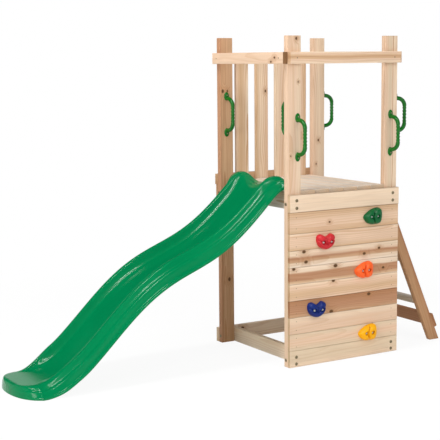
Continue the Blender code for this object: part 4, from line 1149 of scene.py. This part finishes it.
# %% The tree that sets heads on faces
head_tree, enter, add = new_tree("fastener heads", {
    "Head radius": "Float", "Head height": "Float", "Socket radius": "Float", "Socket depth": "Float",
    "Socket sides": "Int", "Segments": "Int"})
ball = add("GeometryNodeMeshUVSphere", {"Segments": enter["Segments"], "Rings": 10, "Radius": 1.0})
flat_size = add("ShaderNodeCombineXYZ",
                [enter["Head radius"], enter["Head radius"], enter["Head height"]])
domed = add("GeometryNodeTransform", {"Geometry": ball, "Scale": flat_size})
where = add("GeometryNodeInputPosition")
clipped = add("ShaderNodeVectorMath", [where, (-1, -1, 0)], operation="MAXIMUM")
button = add("GeometryNodeSetPosition", {"Geometry": domed, "Position": clipped})
welded = add("GeometryNodeMergeByDistance", {"Geometry": button, "Distance": 0.00001})
key = add("GeometryNodeMeshCylinder",
          {"Vertices": enter["Socket sides"], "Radius": enter["Socket radius"],
           "Depth": enter["Socket depth"]})
key_height = add("ShaderNodeCombineXYZ", {2: enter["Head height"]})
key_up = add("GeometryNodeTransform", {"Geometry": key, "Translation": key_height})
head = add("GeometryNodeMeshBoolean", {"Mesh 1": welded, "Mesh 2": key_up}, operation="DIFFERENCE",
           solver="EXACT")
facing = add("GeometryNodeInputNamedAttribute", {"Name": "facing"}, data_type="FLOAT_VECTOR")
turned = add("FunctionNodeAlignRotationToVector", {"Vector": facing}, axis="Z")
placed = add("GeometryNodeInstanceOnPoints",
             {"Points": enter["Geometry"], "Instance": head, "Rotation": turned})
end_tree(head_tree, placed, enter["Finish"])


def set_heads(name, places, radius, head_height, socket, finish, segments=20):
    """Set a head at each (point, facing) and add them all as one piece."""
    points = bpy.data.meshes.new(f"{name}_points")
    points.from_pydata([point for point, facing in places], [], [])
    facings = points.attributes.new("facing", "FLOAT_VECTOR", "POINT")
    facings.data.foreach_set("vector", [value for point, facing in places for value in facing])
    socket_radius, socket_depth, socket_sides = socket
    mesh = mesh_from_tree(name, head_tree, {
        "Head radius": radius, "Head height": head_height, "Socket radius": socket_radius,
        "Socket depth": socket_depth, "Socket sides": socket_sides, "Segments": segments,
        "Finish": finish}, points)
    smooth_up_to(mesh, 40)
    add_piece(name, mesh)
    print(name, len(places), "heads,", len(mesh.polygons), "faces")


# %% [markdown]
# ## Zinc and steel
#
# The bolts of the frame are steel with a yellow zinc plating, which looks dull and brownish, and
# those of the holds have a bright one. Cells of 1.4 mm, each with a slightly different tone and
# roughness, stand for the uneven sheen of the plating. The nails are driven in until their heads
# lie flush, and look darker because they weather first.

# %% Zinc-plated steel and dark nails
SPANGLES_TO_A_METRE = 700.0


def plated_steel(name, hex_code, roughness):
    """Zinc-plated steel: metal with a fine spangle in its tone and roughness."""
    material, add, shader, place = new_material(name)
    spangle = add("ShaderNodeTexVoronoi", {"Vector": place, "Scale": SPANGLES_TO_A_METRE})
    tone = add("ShaderNodeMapRange", {"Value": spangle, "To Min": 0.85, "To Max": 1.1})
    toned = add("ShaderNodeHueSaturation", {"Color": linear(hex_code), "Value": tone})
    rough = add("ShaderNodeMapRange", {"Value": spangle, "To Min": roughness, "To Max": roughness * 1.4})
    fill_sockets(shader, {"Base Color": toned, "Roughness": rough, "Metallic": 1.0})
    return material


zinc = plated_steel("yellow zinc-plated steel", "#877C63", 0.42)
bright = plated_steel("bright zinc-plated steel", "#EDEDEA", 0.42)
nail_steel = plated_steel("weathered nail steel", "#8A7A67", 0.5)

# %% [markdown]
# ## Where the fasteners sit
#
# Bolts sit on the top and the bottom board of the wall, and on the sides of the posts under the
# deck and near the ground. Screws hold the grips and the top rails, and small nails come in pairs
# where a board crosses its support. All places are measured from the solids, so the heads stay on
# their faces when a size changes.

# %% Bolts of the frame and of the holds
BOLTS_UNDER_DECK = (0.029, 0.069)
BOLTS_OVER_GROUND = (0.018, 0.055)
SIDE_BOLT_UNDER_DECK = 0.049
SIDE_BOLT_OVER_GROUND = 0.0365
FRONT, BACK, UP = Vector((0, -1, 0)), Vector((0, 1, 0)), Vector((0, 0, 1))
deck_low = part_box("deck_board_1")[0].z


def between(low, high, share=0.5):
    """A place between two values, in the middle unless a share is given."""
    return low + (high - low) * share


frame_bolts = []
for post in ("post_slide_front", "post_ladder_front"):
    low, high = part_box(post)
    middle = between(low.x, high.x)
    for drop in BOLTS_UNDER_DECK:
        frame_bolts.append((Vector((middle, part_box("wall_board_1")[0].y, deck_low - drop)), FRONT))
    for z in BOLTS_OVER_GROUND:
        frame_bolts.append((Vector((middle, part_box("wall_board_10")[0].y, z)), FRONT))
for post in ("post_slide_front", "post_slide_back", "post_ladder_front", "post_ladder_back"):
    low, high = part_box(post)
    outwards = -1 if "slide" in post else 1
    face = low.x if outwards < 0 else high.x
    for z in (deck_low - SIDE_BOLT_UNDER_DECK, SIDE_BOLT_OVER_GROUND):
        frame_bolts.append((Vector((face, between(low.y, high.y), z)), Vector((outwards, 0, 0))))

# radius and height of the head, then radius, depth and sides of its socket
set_heads("frame_bolts", frame_bolts, 0.0088, 0.0046, (0.0034, 0.005, 6), zinc)
set_heads("hold_bolts", [(seat, FRONT) for seat in hold_seats], 0.0088, 0.019, (0.0018, 0.003, 6), bright)

# %% Screws of the grips and of the top rails
SCREW_SUNK = 0.0006
SCREW_FROM_RAIL_END = 0.0415

grip_screws = []
for seat, outwards in grip_seats.values():
    for side in (-1, 1):
        up = Vector((0, 0, side * GRIP_SCREW_SPACING / 2))
        grip_screws.append((seat + outwards * (GRIP_FOOT[0] - SCREW_SUNK) + up, outwards))
set_heads("grip_screws", grip_screws, 0.0042, 0.0016, (0.0016, 0.0016, 4), zinc)

rail_screws = []
for rail, direction in (("top_rail_slide", Vector((-1, 0, 0))), ("top_rail_ladder", Vector((1, 0, 0))),
                        ("top_rail_front", FRONT), ("top_rail_back", BACK)):
    low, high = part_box(rail)
    long_axis = 1 if direction.x else 0
    for end in (-1, 1):
        point = (low + high) / 2 + direction * abs((high - low).dot(direction)) / 2
        point[long_axis] += end * ((high - low)[long_axis] / 2 - SCREW_FROM_RAIL_END)
        rail_screws.append((point, direction))
set_heads("rail_screws", rail_screws, 0.0035, 0.0008, (0.0014, 0.0012, 4), nail_steel)

# %% Nails of the wall, of the deck and of the balusters
NAIL_FROM_BOARD_END = 0.014
WALL_NAIL_SHARES = (0.24, 0.76)
DECK_NAIL_SHARES = (0.25, 0.75)
BALUSTER_NAIL_SHARES = (0.3, 0.7)

nails = []
for number in range(2, 10):
    low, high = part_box(f"wall_board_{number}")
    for post in ("post_slide_front", "post_ladder_front"):
        x = between(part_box(post)[0].x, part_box(post)[1].x)
        for share in WALL_NAIL_SHARES:
            nails.append((Vector((x, low.y, between(low.z, high.z, share))), FRONT))
for number in range(1, 7):
    low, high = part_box(f"deck_board_{number}")
    for y in (low.y + NAIL_FROM_BOARD_END, high.y - NAIL_FROM_BOARD_END):
        for share in DECK_NAIL_SHARES:
            nails.append((Vector((between(low.x, high.x, share), y, high.z)), UP))
for number in range(1, 5):
    low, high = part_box(f"baluster_{number}")
    for share in BALUSTER_NAIL_SHARES:
        for rail in ("baluster_rail", "top_rail_back"):
            rail_low, rail_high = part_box(rail)
            point = (between(low.x, high.x, share), rail_high.y, between(rail_low.z, rail_high.z))
            nails.append((Vector(point), BACK))
set_heads("nails", nails, 0.0022, 0.0004, (0.0007, 0.0003, 4), nail_steel, 10)
